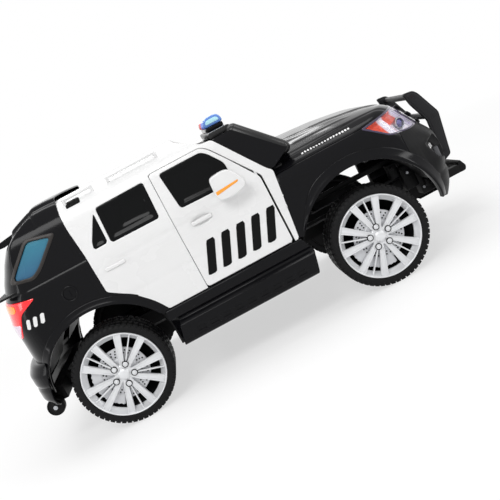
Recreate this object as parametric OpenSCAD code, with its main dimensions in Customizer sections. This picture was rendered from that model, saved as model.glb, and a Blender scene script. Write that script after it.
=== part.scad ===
// Child's ride-on police SUV: moulded panels on a floor tub, steered front wheels, opening front doors,
// a trolley handle that slides out of the nose and two trolley wheels at the tail.
// X points forward, Y to the left, Z up. The origin is on the floor under the middle of the whole toy.

/* [Overall] */
// Distance between the front and rear axles
wheelbase = 740; // [715:5:800]
// Width over the side panels
body_w = 620; // [600:5:720]
// Height of the side panels' lower edge
sill_z = 228; // [222:1:236]
// Height of the belt line, where the side starts to lean in
belt_z = 425; // [400:1:440]
// Height of the roof's top face
roof_z = 592; // [580:1:640]
// How far the roof's edge stands in from the side panels
roof_lean = 42; // [30:1:60]
// Length of the nose that narrows, ahead of the straight sides
nose_l = 232; // [215:1:250]
// Length of the tail that narrows, behind the straight sides
tail_l = 190; // [170:1:210]

/* [Panels] */
// Thickness of a door or side panel, inner skin to outer skin
side_t = 22; // [16:1:28]
// Wall of the single-skin mouldings
skin_t = 6; // [4:0.5:8]
// Gap at the seam between two fixed mouldings
seam = 0.6; // [0.4:0.1:1]
// Gap round a door
door_gap = 4; // [3:0.5:6]
// Thickness of the window panels
pane_t = 6; // [4:0.5:8]
// Clearance round a window panel or a lamp in its hole
pane_gap = 0.3; // [0.2:0.1:0.5]

/* [Wheels] */
// Radial thickness of a tyre, bore to tread
tyre_wall = 23; // [18:1:30]
// Tyre width
tyre_w = 92; // [80:1:100]
// Rim outer diameter, which is the bore of the tyre
rim_d = 218; // [196:2:224]
// How far the rim's face stands in from the side panels
wheel_inset = 5; // [0:1:15]
// Diameter of the axle rods
axle_d = 12; // [10:0.5:14]
// Radial clearance of a wheel on its axle
axle_play = 0.05; // [0.02:0.01:0.1]
// Radius of the front wheel arch
front_arch_r = 197; // [185:1:205]
// Radius of the rear wheel arch
rear_arch_r = 186; // [180:1:195]
// Width of the flare round each arch
flare_w = 21; // [14:1:26]

/* [Steering] */
// Distance of each kingpin from the middle
kingpin_y = 185; // [175:1:190]
// Length of a steering arm, kingpin to tie rod pin
arm_l = 60; // [50:1:70]
// Outer diameter of the steering wheel
steer_d = 170; // [140:5:200]
// Place of the steering wheel to the left of the middle
steer_y = 122; // [115:1:130]

/* [Trolley gear] */
// How far the handle stands out of the nose when it is pulled out
handle_out = 72; // [60:1:80]
// Distance between the middles of the handle's two legs
handle_w = 150; // [140:2:170]
// Diameter of the trolley wheels
trolley_d = 48; // [40:1:56]

/* [Charging] */
// Diameter of the charging socket's hole
charge_d = 8; // [6:0.5:10]
// Depth of the charging socket's hole
charge_l = 14; // [10:1:20]

/* [Hidden] */
$fn = 64;
// Driving places
half_w = body_w / 2;
front_x = wheelbase / 2;
rear_x = -wheelbase / 2;
axle_z = rim_d / 2 + tyre_wall;
nose_x = front_x + 282;
tail_x = rear_x - 221;
bumper_x = rear_x - 251;
nose_start = nose_x - nose_l;
tail_start = tail_x + tail_l;
handle_x = nose_x + handle_out;
trolley_x = rear_x - 211;
trolley_r = trolley_d / 2;
mid_x = (handle_x + bumper_x) / 2;
wheel_y = half_w - wheel_inset;
far = 1200;

// Floor, rails and beams
floor_z = 125;
floor_t = 6;
tub_top_z = sill_z - 3;
tub_x1 = front_x - 175;
tub_x0 = rear_x + 165;
tub_w = half_w - 31;
rail_y = 72;
rail_w = 24;
rail_z = 166;
rail_h = 30;
guide_t = 6;
leg_w = 24;
leg_h = 24;
leg_z = 141;
slide_play = 0.5;

tail_beam_x = rear_x - 200;
bracket_y = 195;
trolley_z = 123;

// Doors
door_x0 = -74;
door_x1 = front_x - 204;
door_z0 = sill_z + 5;
window_z = belt_z + 110;
door_top_z = window_z + 6;
hinge_x = front_x - 210;
hinge_y = half_w - 7;
hinge_r = 3;
hinge_play = 0.06;

// Front beam and steering
beam_ear = 10;
block_h = 50;
pin_r = axle_d / 2;
arm_t = 8;
steer_limit = 21;
tie_r = 4;
tie_t = 8;
shaft_r = 6;
shaft_tilt = 45;
shaft_l = 400;
slot_play = 0.5;
slot_l = arm_l / cos(steer_limit) - arm_l + slot_play;
arm_pad_r = 13;
steer_x = front_x - 310;
steer_z = 436;

// The nose's and tail's share of the half width at share u of their length
function end_share(u) = pow(1 - pow(u, 3.5), 1 / 3);
end_steps = [0, 0.25, 0.45, 0.6, 0.72, 0.82, 0.9, 0.96, 1];
side_signs = [-1, 1];

// Half plan outline, nose to tail, set in by t
function plan_half(t) = concat(
    [for (i = [8:-1:0]) [nose_start + end_steps[i] * (nose_l - t), (half_w - t) * end_share(end_steps[i])]],
    [for (i = [0:8]) [tail_start - end_steps[i] * (tail_l - t), (half_w - t) * end_share(end_steps[i])]]);

// Side outline of the lower body ahead of the cabin, and behind it
nose_side = [
    [front_x - 200, 60], [front_x - 200, 458], [front_x - 103, 454], [front_x - 60, 441],
    [front_x + 40, 436], [front_x + 136, 426], [front_x + 190, 413], [front_x + 222, 400],
    [front_x + 247, 384], [front_x + 262, 340], [front_x + 272, 292], [front_x + 280, 230],
    [front_x + 282, 190], [front_x + 273, 159], [front_x + 248, 123], [front_x + 236, 110],
    [front_x + 236, 60]];
tail_side = [
    [rear_x + 120, 60], [rear_x + 120, roof_z + 3], [rear_x + 52, roof_z + 3], [rear_x + 24, roof_z + 6],
    [rear_x - 10, roof_z + 4], [rear_x - 34, roof_z - 8], [rear_x - 60, roof_z - 20],
    [rear_x - 125, window_z + 11], [rear_x - 183, belt_z + 41], [rear_x - 207, belt_z - 8],
    [rear_x - 221, belt_z - 68], [rear_x - 219, 300], [rear_x - 217, 60]];

// Half section of the nose and of the cabin sides, outer faces, set in by t
function nose_section(t) = [
    [0, 460 - t], [150 - t, 452 - t], [215 - t, 436 - t], [half_w - 45 - t, 412 - t],
    [half_w - 12 - t, 398 - t], [half_w - t, 380 - t], [half_w - t, 20], [0, 20]];
function cabin_half(t) = [
    [half_w - t, 20], [half_w - t, belt_z], [half_w - 28 - t, window_z + 10],
    [half_w - roof_lean - t, roof_z - 20 - t / 2], [half_w - roof_lean - 28 - t, roof_z - 2 - t],
    [half_w - roof_lean - 60, roof_z - t]];
function cabin_section(t) = concat(cabin_half(t), [[0, roof_z + 4 - t]]);
function flip(points) = [for (i = [len(points) - 1:-1:0]) [points[i].x, -points[i].y]];
function flip_first(points) = [for (i = [len(points) - 1:-1:0]) [-points[i].x, points[i].y]];
function both(points) = concat(points, flip_first(points));

// Sum whose sign tells which way round an outline runs
function turn_sum(p) = let (n = len(p))
    [for (i = [0:n - 1]) p[i].x * p[(i + 1) % n].y - p[(i + 1) % n].x * p[i].y] * [for (i = [0:n - 1]) 1];
// An outline with every edge moved in by gap
function inset(p, gap) = let (n = len(p), turn = sign(turn_sum(p)))
    [for (i = [0:n - 1]) let (
        u = (p[i] - p[(i + n - 1) % n]) / norm(p[i] - p[(i + n - 1) % n]),
        v = (p[(i + 1) % n] - p[i]) / norm(p[(i + 1) % n] - p[i]),
        a = [-u.y, u.x] * turn,
        b = [-v.y, v.x] * turn)
        p[i] + (a + b) * gap / (1 + a * b)];

module placed() { translate([-mid_x, 0, 0]) children(); }
module mirrored() { mirror([0, 1, 0]) children(); }
module on_side(s) { if (s > 0) children(); else mirrored() children(); }
module both_sides() { children(); mirrored() children(); }

// A side-view outline (x, z) pushed through from y0 to y1
module across(points, y0, y1) {
    translate([0, y1, 0]) rotate([90, 0, 0]) linear_extrude(y1 - y0) polygon(points);
}
// A front-view outline (y, z) pushed through from x0 to x1
module along(points, x0, x1) {
    translate([x0, 0, 0]) rotate([90, 0, 90]) linear_extrude(x1 - x0) polygon(points);
}
module block(x0, x1, y0, y1, z0, z1) {
    translate([x0, y0, z0]) cube([x1 - x0, y1 - y0, z1 - z0]);
}
module rod_y(x, z, r, y0, y1) {
    translate([x, y0, z]) rotate([-90, 0, 0]) cylinder(r = r, h = y1 - y0);
}
module rod_x(y, z, r, x0, x1) {
    translate([x0, y, z]) rotate([0, 90, 0]) cylinder(r = r, h = x1 - x0);
}

// Whole solid forms that the skins are cut from, set in by t
module nose_form(t) {
    intersection() {
        translate([0, 0, -10]) linear_extrude(far) polygon(concat(plan_half(t), flip(plan_half(t))));
        translate([-t, 0, -t]) across(nose_side, -far, far);
        along(both(nose_section(t)), front_x - 230, nose_x + 50);
    }
}
module tail_form(t) {
    intersection() {
        translate([0, 0, -10]) linear_extrude(far) polygon(concat(plan_half(t), flip(plan_half(t))));
        translate([t, 0, -t]) across(tail_side, -far, far);
        along(both(cabin_section(t)), tail_x - 50, rear_x + 200);
    }
}
module nose_skin(t) {
    difference() {
        nose_form(0);
        nose_form(t);
    }
}
module tail_skin(t) {
    difference() {
        tail_form(0);
        tail_form(t);
    }
}
module arch(x, r, y0, y1) { rod_y(x, axle_z, r, y0, y1); }

// ---- Side panels, doors and their windows, drawn for the left side ----
// Side wall of the cabin: outer and inner faces, up to the roof's edge
module side_wall(x0, x1) {
    inner = cabin_half(side_t);
    along(concat(cabin_half(0), [for (i = [len(inner) - 1:-1:0]) inner[i]]), x0, x1);
}
white_outline = [
    [front_x - 188, sill_z + seam], [front_x - 168, belt_z - 12], [front_x - 180, belt_z - 2],
    [front_x - 214, belt_z + 45], [front_x - 269, window_z + 12], [front_x - 296, window_z + 14], [front_x - 348, roof_z - 14],
    [front_x - 388, roof_z + 10], [rear_x + 56, roof_z + 10], [rear_x + 56, window_z - 15],
    [rear_x + 66, belt_z + 12], [rear_x + 68, 339], [rear_x + 94, 321], [rear_x + 134, 292],
    [rear_x + 162, 261], [rear_x + 182, sill_z + seam]];
door_outline = [
    [door_x0, door_z0], [door_x1, door_z0], [door_x1, belt_z - 13], [front_x - 258, window_z - 47],
    [front_x - 284, window_z - 12], [front_x - 296, window_z], [front_x - 308, door_top_z],
    [door_x0, door_top_z]];
door_hole = [
    [door_x0 - door_gap, sill_z - 5], [door_x1 + door_gap + 2, sill_z - 5],
    [door_x1 + door_gap + 2, belt_z - 9], [front_x - 254, window_z - 44], [front_x - 280, window_z - 8],
    [front_x - 293, window_z + 4], [front_x - 306, door_top_z + door_gap],
    [door_x0 - door_gap, door_top_z + door_gap]];
door_window = [
    [-43, belt_z + 9], [-53, window_z - 2], [front_x - 311, window_z - 2], [front_x - 302, window_z - 6],
    [front_x - 291, window_z - 16], [front_x - 266, window_z - 51], [front_x - 266, belt_z + 42],
    [front_x - 263, belt_z + 6]];
rear_window = [
    [rear_x + 138, belt_z + 15], [rear_x + 141, window_z - 2], [-96, window_z], [-99, belt_z + 14]];
rear_quarter = [
    [rear_x + 92, belt_z + 19], [rear_x + 96, belt_z + 38], [rear_x + 132, window_z - 9],
    [rear_x + 131, belt_z + 20]];
module hinge_axis(r, z0, z1) { translate([hinge_x, hinge_y, z0]) cylinder(r = r, h = z1 - z0); }
module window_fill(points, gap) {
    intersection() {
        difference() {
            side_wall(rear_x, front_x);
            translate([0, -pane_t - 2, 0]) side_wall(rear_x, front_x);
        }
        translate([0, -2, 0]) side_wall(rear_x, front_x);
        inset_across(points, gap);
    }
}
// The same outline with every edge drawn in by gap
module inset_across(points, gap) { across(inset(points, gap), 0, far); }
module side_panel() {
    difference() {
        intersection() {
            side_wall(rear_x, front_x);
            across(white_outline, 0, far);
        }
        across(door_hole, half_w - roof_lean - 60, far);
        across(rear_window, 0, far);
        across(rear_quarter, 0, far);
        arch(rear_x, rear_arch_r + flare_w + seam, 0, far);
        hinge_axis(hinge_r + hinge_play, belt_z - 20, belt_z + 24);
    }
}
module door() {
    difference() {
        intersection() {
            side_wall(rear_x, front_x);
            across(door_outline, 0, far);
        }
        across(door_window, 0, far);
    }
    hinge_axis(hinge_r, sill_z - 5, sill_z + 12);
    hinge_axis(hinge_r, belt_z - 18, belt_z + 20);
}
module mirror_pod() {
    foot_y = half_w;
    difference() {
        union() {
            across([[front_x - 322, belt_z + 37], [front_x - 316, belt_z + 44], [front_x - 290, belt_z + 47],
                [front_x - 271, belt_z + 45], [front_x - 258, belt_z + 30], [front_x - 242, belt_z],
                [front_x - 252, belt_z - 12], [front_x - 290, belt_z - 20], [front_x - 318, belt_z - 16],
                [front_x - 324, belt_z]], foot_y + 9, foot_y + 41);
            across([[front_x - 296, belt_z - 14], [front_x - 262, belt_z - 10], [front_x - 258, belt_z - 2],
                [front_x - 298, belt_z - 2]], foot_y + pane_gap, foot_y + 10);
        }
        block(front_x - 330, front_x - 318, foot_y + 13, foot_y + 37, belt_z - 12, belt_z + 40);
    }
}

// ---- Front body ----
fender_top_z = 397;
lamp_side = [
    [front_x + 103, 389], [front_x + 189, 402], [nose_x + 40, 400], [nose_x + 40, 338],
    [front_x + 190, 342], [front_x + 144, 354]];
lamp_y = 150;
bumper_x0 = front_x + 160;
bumper_top = 338;
module hood() {
    difference() {
        nose_skin(skin_t);
        translate([0, 0, fender_top_z - far]) block(0, far, -far, far, 0, far);
        block(0, front_x - 166 + seam, -far, far, 0, far);
        block(0, front_x - 102, -far, far, belt_z - 17, far);
        across(lamp_side, lamp_y - 1, far);
        mirrored() across(lamp_side, lamp_y - 1, far);
    }
}
module fender() {
    difference() {
        intersection() {
            nose_skin(skin_t);
            block(front_x - 166, bumper_x0, 60, far, sill_z + seam, fender_top_z - seam);
        }
        across(lamp_side, 0, far);
        arch(front_x, front_arch_r, 0, far);
        across([[front_x - 200, sill_z - 20], [front_x - 186, sill_z - 20], [front_x - 166, belt_z - 11],
            [front_x - 166, far], [front_x - 200, far]], 0, far);
    }
    block(front_x - 165, front_x - 160, tub_w - 20, half_w - skin_t + 1, 285, 385);
    block(tub_x1 + pane_gap, front_x - 164, tub_w - 20, tub_w, 285, 385);
    difference() {
        arch(front_x, front_arch_r + flare_w, half_w - skin_t, half_w + 6);
        arch(front_x, front_arch_r, 0, far);
        block(0, far, 0, far, -far, sill_z + seam);
        block(front_x + 158, far, 0, far, 0, far);
        block(-far, front_x - 184, 0, far, 0, far);
    }
}
module headlights() {
    both_sides() intersection() {
        nose_skin(skin_t + 10);
        inset_across(lamp_side, pane_gap);
        block(0, far, lamp_y, far, 0, far);
    }
}
module front_bumper() {
    difference() {
        intersection() {
            nose_skin(skin_t);
            block(bumper_x0 + seam, far, -far, far, 100, bumper_top);
        }
        block(0, far, -lamp_y, lamp_y, 200, far);
        block(0, far, -handle_w / 2 - 45, handle_w / 2 + 45, 0, 170);
        arch(front_x, front_arch_r, -far, far);
    }
}
module grille() {
    difference() {
        intersection() {
            nose_skin(skin_t);
            block(front_x + 190, far, -lamp_y + seam, lamp_y - seam, 200 + seam, fender_top_z - seam);
        }
        for (z = [225:26:345]) block(0, far, -lamp_y + 30, lamp_y - 30, z, z + 14);
    }
}
plate_y = 131;
plate_t = 12;
module push_bar() {
    bar_outline = [
        [nose_x + 5, 405], [nose_x + 16, 393], [nose_x + 48, 322], [nose_x + 31, 201], [nose_x - 14, 181],
        [nose_x + 8, 281], [nose_x + 9, 315], [nose_x - 16, 373], [nose_x - 24, 408]];
    difference() {
        union() {
            both_sides() across(bar_outline, plate_y - plate_t, plate_y);
            rod_y(nose_x + 2, 391, 9, -plate_y, plate_y);
            rod_y(nose_x + 30, 318, 9, -plate_y, plate_y);
            rod_y(nose_x + 20, 215, 9, -plate_y, plate_y);
        }
        nose_form(-seam);
    }
}

// ---- Windshield and light bar ----
post_outline = [
    [front_x - 269 + seam, window_z + 12], [front_x - 196, window_z + 12], [front_x - 103, belt_z + 30],
    [front_x - 106, belt_z + 22], [front_x - 164, belt_z - 9], [front_x - 180 + seam, belt_z - 2],
    [front_x - 214 + seam, belt_z + 45]];
header = [
    [front_x - 269 + seam, window_z + 12], [front_x - 196, window_z + 12], [front_x - 214, window_z + 27],
    [front_x - 268, window_z + 27]];
cowl = [
    [front_x - 136, belt_z + 20], [front_x - 103, belt_z + 30], [front_x - 106, belt_z + 19],
    [front_x - 136, belt_z + 8]];
module windshield_frame() {
    intersection() {
        along(both(cabin_section(0)), 0, far);
        union() {
            both_sides() intersection() {
                side_wall(0, front_x);
                across(post_outline, 0, far);
            }
            across(header, -half_w + 44, half_w - 44);
            across(cowl, -half_w + 10, half_w - 10);
        }
    }
}
module windshield() {
    across([[front_x - 222, window_z + 8], [front_x - 216, window_z + 8], [front_x - 128, belt_z + 23],
        [front_x - 134, belt_z + 23]], -half_w + side_t + 30 + pane_gap,
        half_w - side_t - 30 - pane_gap);
}
bar_x0 = front_x - 266;
bar_x1 = front_x - 209;
bar_z = window_z + 27;
module light_base() {
    block(bar_x0 + 4, bar_x1 - 4, -150, 150, bar_z + pane_gap, bar_z + 12);
}
module light_lens(y0, y1) {
    across([[bar_x0, bar_z + 12 + pane_gap], [bar_x0 + 4, bar_z + 30], [bar_x0 + 14, bar_z + 38],
        [bar_x1 - 14, bar_z + 38], [bar_x1 - 4, bar_z + 30], [bar_x1, bar_z + 12 + pane_gap]], y0, y1);
}

// ---- Running boards ----
module running_board() {
    y0 = tub_w + seam;
    y1 = half_w + 8;
    difference() {
        intersection() {
            along([[y0, sill_z], [half_w - 2, sill_z], [y1, sill_z - 13], [y1, sill_z - 63],
                [half_w - 2, floor_z - 2], [y0, floor_z - 2], [y0, floor_z + 4], [half_w - 6, floor_z + 4],
                [y1 - skin_t, sill_z - 62], [y1 - skin_t, sill_z - 15], [half_w - 5, sill_z - skin_t],
                [y0, sill_z - skin_t]], rear_x, front_x);
            across([[rear_x + 161, sill_z - 30], [rear_x + 191, sill_z - 33], [rear_x + 172, floor_z - 5],
                [front_x - 182, floor_z - 5], [front_x - 168, sill_z - 41], [front_x - 187, sill_z + 5],
                [rear_x + 172, sill_z + 5]], 0, far);
        }
        hinge_axis(hinge_r + hinge_play, 0, far);
        arch(rear_x, rear_arch_r + seam, 0, far);
    }
}

// ---- Rear body ----
pillar_window = [
    [rear_x - 46, window_z + 3], [rear_x + 13, window_z - 12], [rear_x - 47, belt_z + 44],
    [rear_x - 70, belt_z + 31], [rear_x - 120, belt_z + 42]];
tail_lamp = [
    [rear_x - 87, belt_z - 14], [rear_x - 240, belt_z + 8], [rear_x - 240, belt_z - 100],
    [rear_x - 180, belt_z - 100], [rear_x - 146, belt_z - 40]];
module rear_body() {
    difference() {
        intersection() {
            tail_skin(skin_t);
            block(-far, rear_x + 56 - seam, -far, far, 150, far);
        }
        for (s = side_signs) {
            on_side(s) across(pillar_window, 200, far);
            on_side(s) across(tail_lamp, 190, far);
            on_side(s) arch(rear_x, rear_arch_r, 190, far);
        }
        block(-far, rear_x - 120, -150, 150, belt_z + 20, window_z - 5);
        block(-far, rear_x + 200, -far, far, 0, 205);
    }
    both_sides() difference() {
        arch(rear_x, rear_arch_r + flare_w, half_w - side_t, half_w + 6);
        arch(rear_x, rear_arch_r, 0, far);
        block(-far, far, 0, far, -far, sill_z + seam);
        block(-far, rear_x - 150, 0, far, 0, far);
        block(rear_x + 182, far, 0, far, 0, far);
        block(-far, rear_x + 56 - seam, 0, half_w - skin_t, 0, far);
    }
}
module rear_window_pane() {
    intersection() {
        tail_skin(skin_t);
        block(-far, rear_x - 120, -150 + pane_gap, 150 - pane_gap,
            belt_z + 20 + pane_gap, window_z - 5 - pane_gap);
    }
}
module pillar_windows() {
    both_sides() intersection() {
        tail_skin(skin_t);
        inset_across(pillar_window, pane_gap);
        block(-far, far, 200, far, 0, far);
    }
}
module tail_lamps() {
    both_sides() intersection() {
        tail_skin(skin_t + 8);
        inset_across(tail_lamp, pane_gap);
        block(-far, far, 190 + pane_gap, far, 0, far);
    }
}
module spoiler() {
    across([[rear_x - 62, roof_z - 20 + pane_gap], [rear_x - 143, roof_z - 31], [rear_x - 147, roof_z - 40],
        [rear_x - 121, roof_z - 43], [rear_x - 92, roof_z - 32]], -190, 190);
}
module rear_bumper() {
    difference() {
        intersection() {
            difference() {
                translate([-30, 0, 0]) linear_extrude(far) polygon(concat(plan_half(0), flip(plan_half(0))));
                translate([-30, 0, 0]) linear_extrude(far)
                    polygon(concat(plan_half(skin_t), flip(plan_half(skin_t))));
            }
            across([[rear_x - 155, 252], [rear_x - 230, 252], [rear_x - 251, 225], [rear_x - 251, 156],
                [rear_x - 240, 138], [rear_x - 214, 124], [rear_x - 170, 124], [rear_x - 160, 170]], -far, far);
        }
        arch(rear_x, rear_arch_r, -far, far);
        both_sides() block(-far, far, bracket_y - 9, far, 0, trolley_z + trolley_r + 6);
    }
    both_sides() block(bumper_x + skin_t - 2, tail_beam_x - pane_gap, 80, 104, 158, floor_z + 40);
}
module roof_rails() {
    y = half_w - roof_lean - 4;
    z = roof_z - 20;
    difference() {
        both_sides() for (span = [[rear_x + 76, rear_x + 158], [rear_x + 196, front_x - 404]]) {
            rod_x(y, z + 13, 4, span[0], span[1]);
            for (x = [span[0] + 10, span[1] - 10]) translate([x, y, z]) cylinder(r = 4, h = 12);
        }
        along(both(cabin_section(-pane_gap)), rear_x, front_x);
    }
}

// ---- Floor tub, seat and dashboard ----
module floor_tub() {
    difference() {
        union() {
            block(tub_x0, tub_x1, -tub_w, tub_w, floor_z, floor_z + floor_t);
            both_sides() block(tub_x0, tub_x1, tub_w - skin_t, tub_w, floor_z, tub_top_z);
            block(tub_x1 - skin_t, tub_x1, -tub_w, tub_w, floor_z, 392);
            block(tub_x0, tub_x0 + skin_t, -tub_w, tub_w, floor_z, tub_top_z);
            both_sides() block(tub_x1 - 1, front_x + 250, rail_y, rail_y + rail_w, rail_z, rail_z + rail_h);
            both_sides() block(rear_x - 190, tub_x0 + 1, 96, 120, floor_z, floor_z + 40);
            block(tail_beam_x, tail_beam_x + 24, -bracket_y - 12, bracket_y + 12, floor_z, floor_z + 40);
            block(front_x + 120, front_x + 250, -rail_y - rail_w, rail_y + rail_w, rail_z, rail_z + skin_t);
            both_sides() block(front_x + 170, front_x + 250, handle_w / 2 - leg_w / 2 - guide_t,
                handle_w / 2 + leg_w / 2 + guide_t, leg_z - leg_h / 2 - guide_t, rail_z + 1);
        }
        both_sides() block(front_x, far, handle_w / 2 - leg_w / 2 - slide_play,
            handle_w / 2 + leg_w / 2 + slide_play, leg_z - leg_h / 2 - slide_play, leg_z + leg_h / 2 + slide_play);
        rod_y(rear_x, axle_z, pin_r + axle_play, -200, 200);
        translate([steer_x, steer_y, steer_z]) rotate([0, 90 + shaft_tilt, 0])
            cylinder(r = shaft_r + 5, h = shaft_l);
    }
}
seat_x0 = tub_x0 + skin_t + 2;
seat_x1 = -30;
seat_top = 262;
seat_back_z = 468;
seat_wall = 8;
// The charging socket is in the rib between the two places
charge_x = -90;
module seat() {
    w = tub_w - 12;
    difference() {
        union() {
            block(seat_x0, seat_x1, -w, w, floor_z + floor_t + pane_gap, seat_top);
            across([[seat_x0, seat_top - 1], [seat_x0 - 62, seat_back_z - 4], [seat_x0 - 32, seat_back_z],
                [seat_x0 + 52, seat_top - 1]], -w, w);
        }
        block(seat_x0 + seat_wall, seat_x1 - seat_wall, -w + seat_wall, w - seat_wall, floor_z, seat_top - 18);
        both_sides() {
            block(seat_x0 + 43, seat_x1 - 14, 12, w - 22, seat_top - 8, far);
            across([[seat_x0 + 70, seat_top - 8], [seat_x0 - 10, seat_back_z - 12],
                [seat_x0 - 35, seat_back_z - 12], [seat_x0 + 43, seat_top - 8]], 12, w - 22);
        }
        translate([charge_x, 0, seat_top - charge_l]) cylinder(r = charge_d / 2, h = charge_l + 1);
    }
}
battery_l = 95;
battery_w = 151;
battery_h = 94;
module battery() {
    block(seat_x0 + 20, seat_x0 + 20 + battery_l, -battery_w / 2, battery_w / 2,
        floor_z + floor_t + pane_gap, floor_z + floor_t + battery_h);
}
shelf_z = belt_z + 12;
module rear_shelf() {
    difference() {
        intersection() {
            tail_form(skin_t + pane_gap);
            block(-far, seat_x0 - 58, -far, far, shelf_z, shelf_z + skin_t);
        }
        both_sides() block(rear_x + 54, far, half_w - side_t - 5, far, 0, far);
    }
}
dash_x0 = front_x - 262;
dash_x1 = tub_x1 - skin_t - pane_gap;
dash_z0 = 350;
dash_w = tub_w - 8;
module dashboard() {
    difference() {
        across([[dash_x0 + 7, dash_z0], [dash_x0, dash_z0 + 70], [dash_x0 + 14, belt_z + 18],
            [dash_x1 - 8, belt_z + 8], [dash_x1, dash_z0 + 42], [dash_x1, dash_z0]], -dash_w, dash_w);
        across([[dash_x0 + 7 + skin_t, dash_z0 - 10], [dash_x0 + skin_t, dash_z0 + 68],
            [dash_x0 + 14 + skin_t / 2, belt_z + 18 - skin_t], [dash_x1 - 8 - skin_t, belt_z + 8 - skin_t],
            [dash_x1 - skin_t, dash_z0 + 41], [dash_x1 - skin_t, dash_z0 - 10]], -dash_w + skin_t, dash_w - skin_t);
        translate([steer_x, steer_y, steer_z]) rotate([0, 90 + shaft_tilt, 0])
            cylinder(r = shaft_r + 5, h = shaft_l);
    }
}

// ---- Axles, steering and drive ----
module rear_axle() { rod_y(rear_x, axle_z, pin_r, -wheel_y + 4, wheel_y - 4); }
module gearboxes() {
    both_sides() difference() {
        union() {
            block(rear_x - 34, rear_x + 56, 150, 192, axle_z - 40, axle_z + 46);
            rod_y(rear_x + 30, axle_z + 20, 18, 121 + pane_gap, 151);
        }
        rod_y(rear_x, axle_z, pin_r + axle_play, 0, far);
    }
}
module front_beam() {
    z0 = axle_z - block_h / 2 - beam_ear;
    z1 = axle_z + block_h / 2;
    difference() {
        union() {
            both_sides() for (z = [z0, z1]) {
                translate([front_x, kingpin_y, z]) cylinder(r = 14, h = beam_ear - 0.5);
                block(front_x - 14, front_x + 14, kingpin_y - 40, kingpin_y, z, z + beam_ear - 0.5);
            }
            block(front_x - 16, front_x + 16, -kingpin_y + 26, kingpin_y - 26, z0, z1 + beam_ear - 0.5);
            block(front_x - 40, front_x + 16, steer_y - 20, steer_y + 14, z1 - 10, z1 + beam_ear - 0.5);
        }
        both_sides() translate([front_x, kingpin_y, 0]) cylinder(r = pin_r + axle_play, h = far);
        both_sides() block(front_x - 60, front_x + 60, rail_y - 1, rail_y + rail_w + 1, rail_z - pane_gap, far);
        translate([steer_x, steer_y, steer_z]) rotate([0, 90 + shaft_tilt, 0])
            cylinder(r = shaft_r + axle_play, h = shaft_l + 60);
    }
}
module knuckle() {
    z0 = axle_z - block_h / 2;
    difference() {
        union() {
            translate([front_x, kingpin_y, z0 + 0.5]) cylinder(r = 13, h = block_h - 1.5);
            translate([front_x, kingpin_y, z0 - beam_ear - 2]) cylinder(r = pin_r, h = block_h + 2 * beam_ear + 4);
            rod_y(front_x, axle_z, pin_r, kingpin_y + 2, wheel_y - 4);
            block(front_x - arm_l, front_x, kingpin_y - 8, kingpin_y + 8, z0 + 1, z0 + 1 + arm_t);
            translate([front_x - arm_l - slot_l / 2, kingpin_y, z0 + 1]) cylinder(r = arm_pad_r, h = arm_t);
        }
        for (back = [0, slot_l])
            translate([front_x - arm_l - back, kingpin_y, 0]) cylinder(r = tie_r + slot_play, h = axle_z);
        block(front_x - arm_l - slot_l, front_x - arm_l, kingpin_y - tie_r - slot_play,
            kingpin_y + tie_r + slot_play, 0, axle_z);
    }
}
module tie_rod() {
    z0 = axle_z - block_h / 2;
    block(front_x - arm_l - 8, front_x - arm_l + 8, -kingpin_y, kingpin_y, z0 - tie_t, z0);
    both_sides() translate([front_x - arm_l, kingpin_y, z0 - tie_t]) cylinder(r = 8, h = tie_t);
    both_sides() translate([front_x - arm_l, kingpin_y, z0 - tie_t]) cylinder(r = tie_r, h = tie_t + arm_t + 3);
}
module steering_wheel() {
    translate([steer_x, steer_y, steer_z]) rotate([0, 90 + shaft_tilt, 0]) {
        rotate_extrude() translate([steer_d / 2 - 10, 0]) circle(r = 10);
        translate([0, 0, -8]) cylinder(r = 32, h = 22);
        cylinder(r = shaft_r, h = shaft_l);
        for (a = [90, 210, 330]) rotate([0, 0, a]) translate([0, -12, -6]) cube([steer_d / 2 - 12, 24, 10]);
    }
}

// ---- Wheels ----
module tyre() {
    bore_r = rim_d / 2;
    shoulder = 12;
    translate([0, wheel_y - 2, 0]) rotate([90, 0, 0]) rotate_extrude($fn = 96) polygon([
        [bore_r, 0], [bore_r + 8, 0], [axle_z - 6, shoulder / 2], [axle_z, shoulder + 8],
        [axle_z, tyre_w - shoulder - 2], [axle_z - 6, tyre_w - 6], [bore_r + 6, tyre_w - 2], [bore_r, tyre_w - 2]]);
}
spoke_pairs = 5;
hub_r = 38;
module rim() {
    bore_r = rim_d / 2 - 0.05;
    translate([0, wheel_y, 0]) rotate([90, 0, 0]) {
        rotate_extrude($fn = 96) polygon([
            [bore_r - 12, 2], [bore_r - 2, 0], [bore_r, 2], [bore_r, tyre_w - 2], [bore_r - 5, tyre_w - 2],
            [bore_r - 5, 18], [bore_r - 12, 18]]);
        difference() {
            union() {
                translate([0, 0, 4]) cylinder(r = hub_r, h = tyre_w - 10);
                for (i = [0:spoke_pairs - 1]) for (a = [-17, 17])
                    rotate([0, 0, 90 + i * 360 / spoke_pairs + a]) translate([30, -9, 6])
                        cube([bore_r - 30 - 8, 18, 10]);
                for (i = [0:spoke_pairs - 1]) rotate([0, 0, 90 + i * 360 / spoke_pairs])
                    translate([30, -4, 9]) cube([bore_r - 30 - 8, 8, 5]);
                translate([0, 0, 34]) cylinder(r = 68, h = 6);
                translate([0, 0, 60]) cylinder(r = bore_r - 3, h = 6);
            }
            translate([0, 0, -1]) cylinder(r = pin_r + axle_play, h = tyre_w + 10);
        }
    }
}
module wheel_at(x) { translate([x, 0, axle_z]) children(); }

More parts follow.
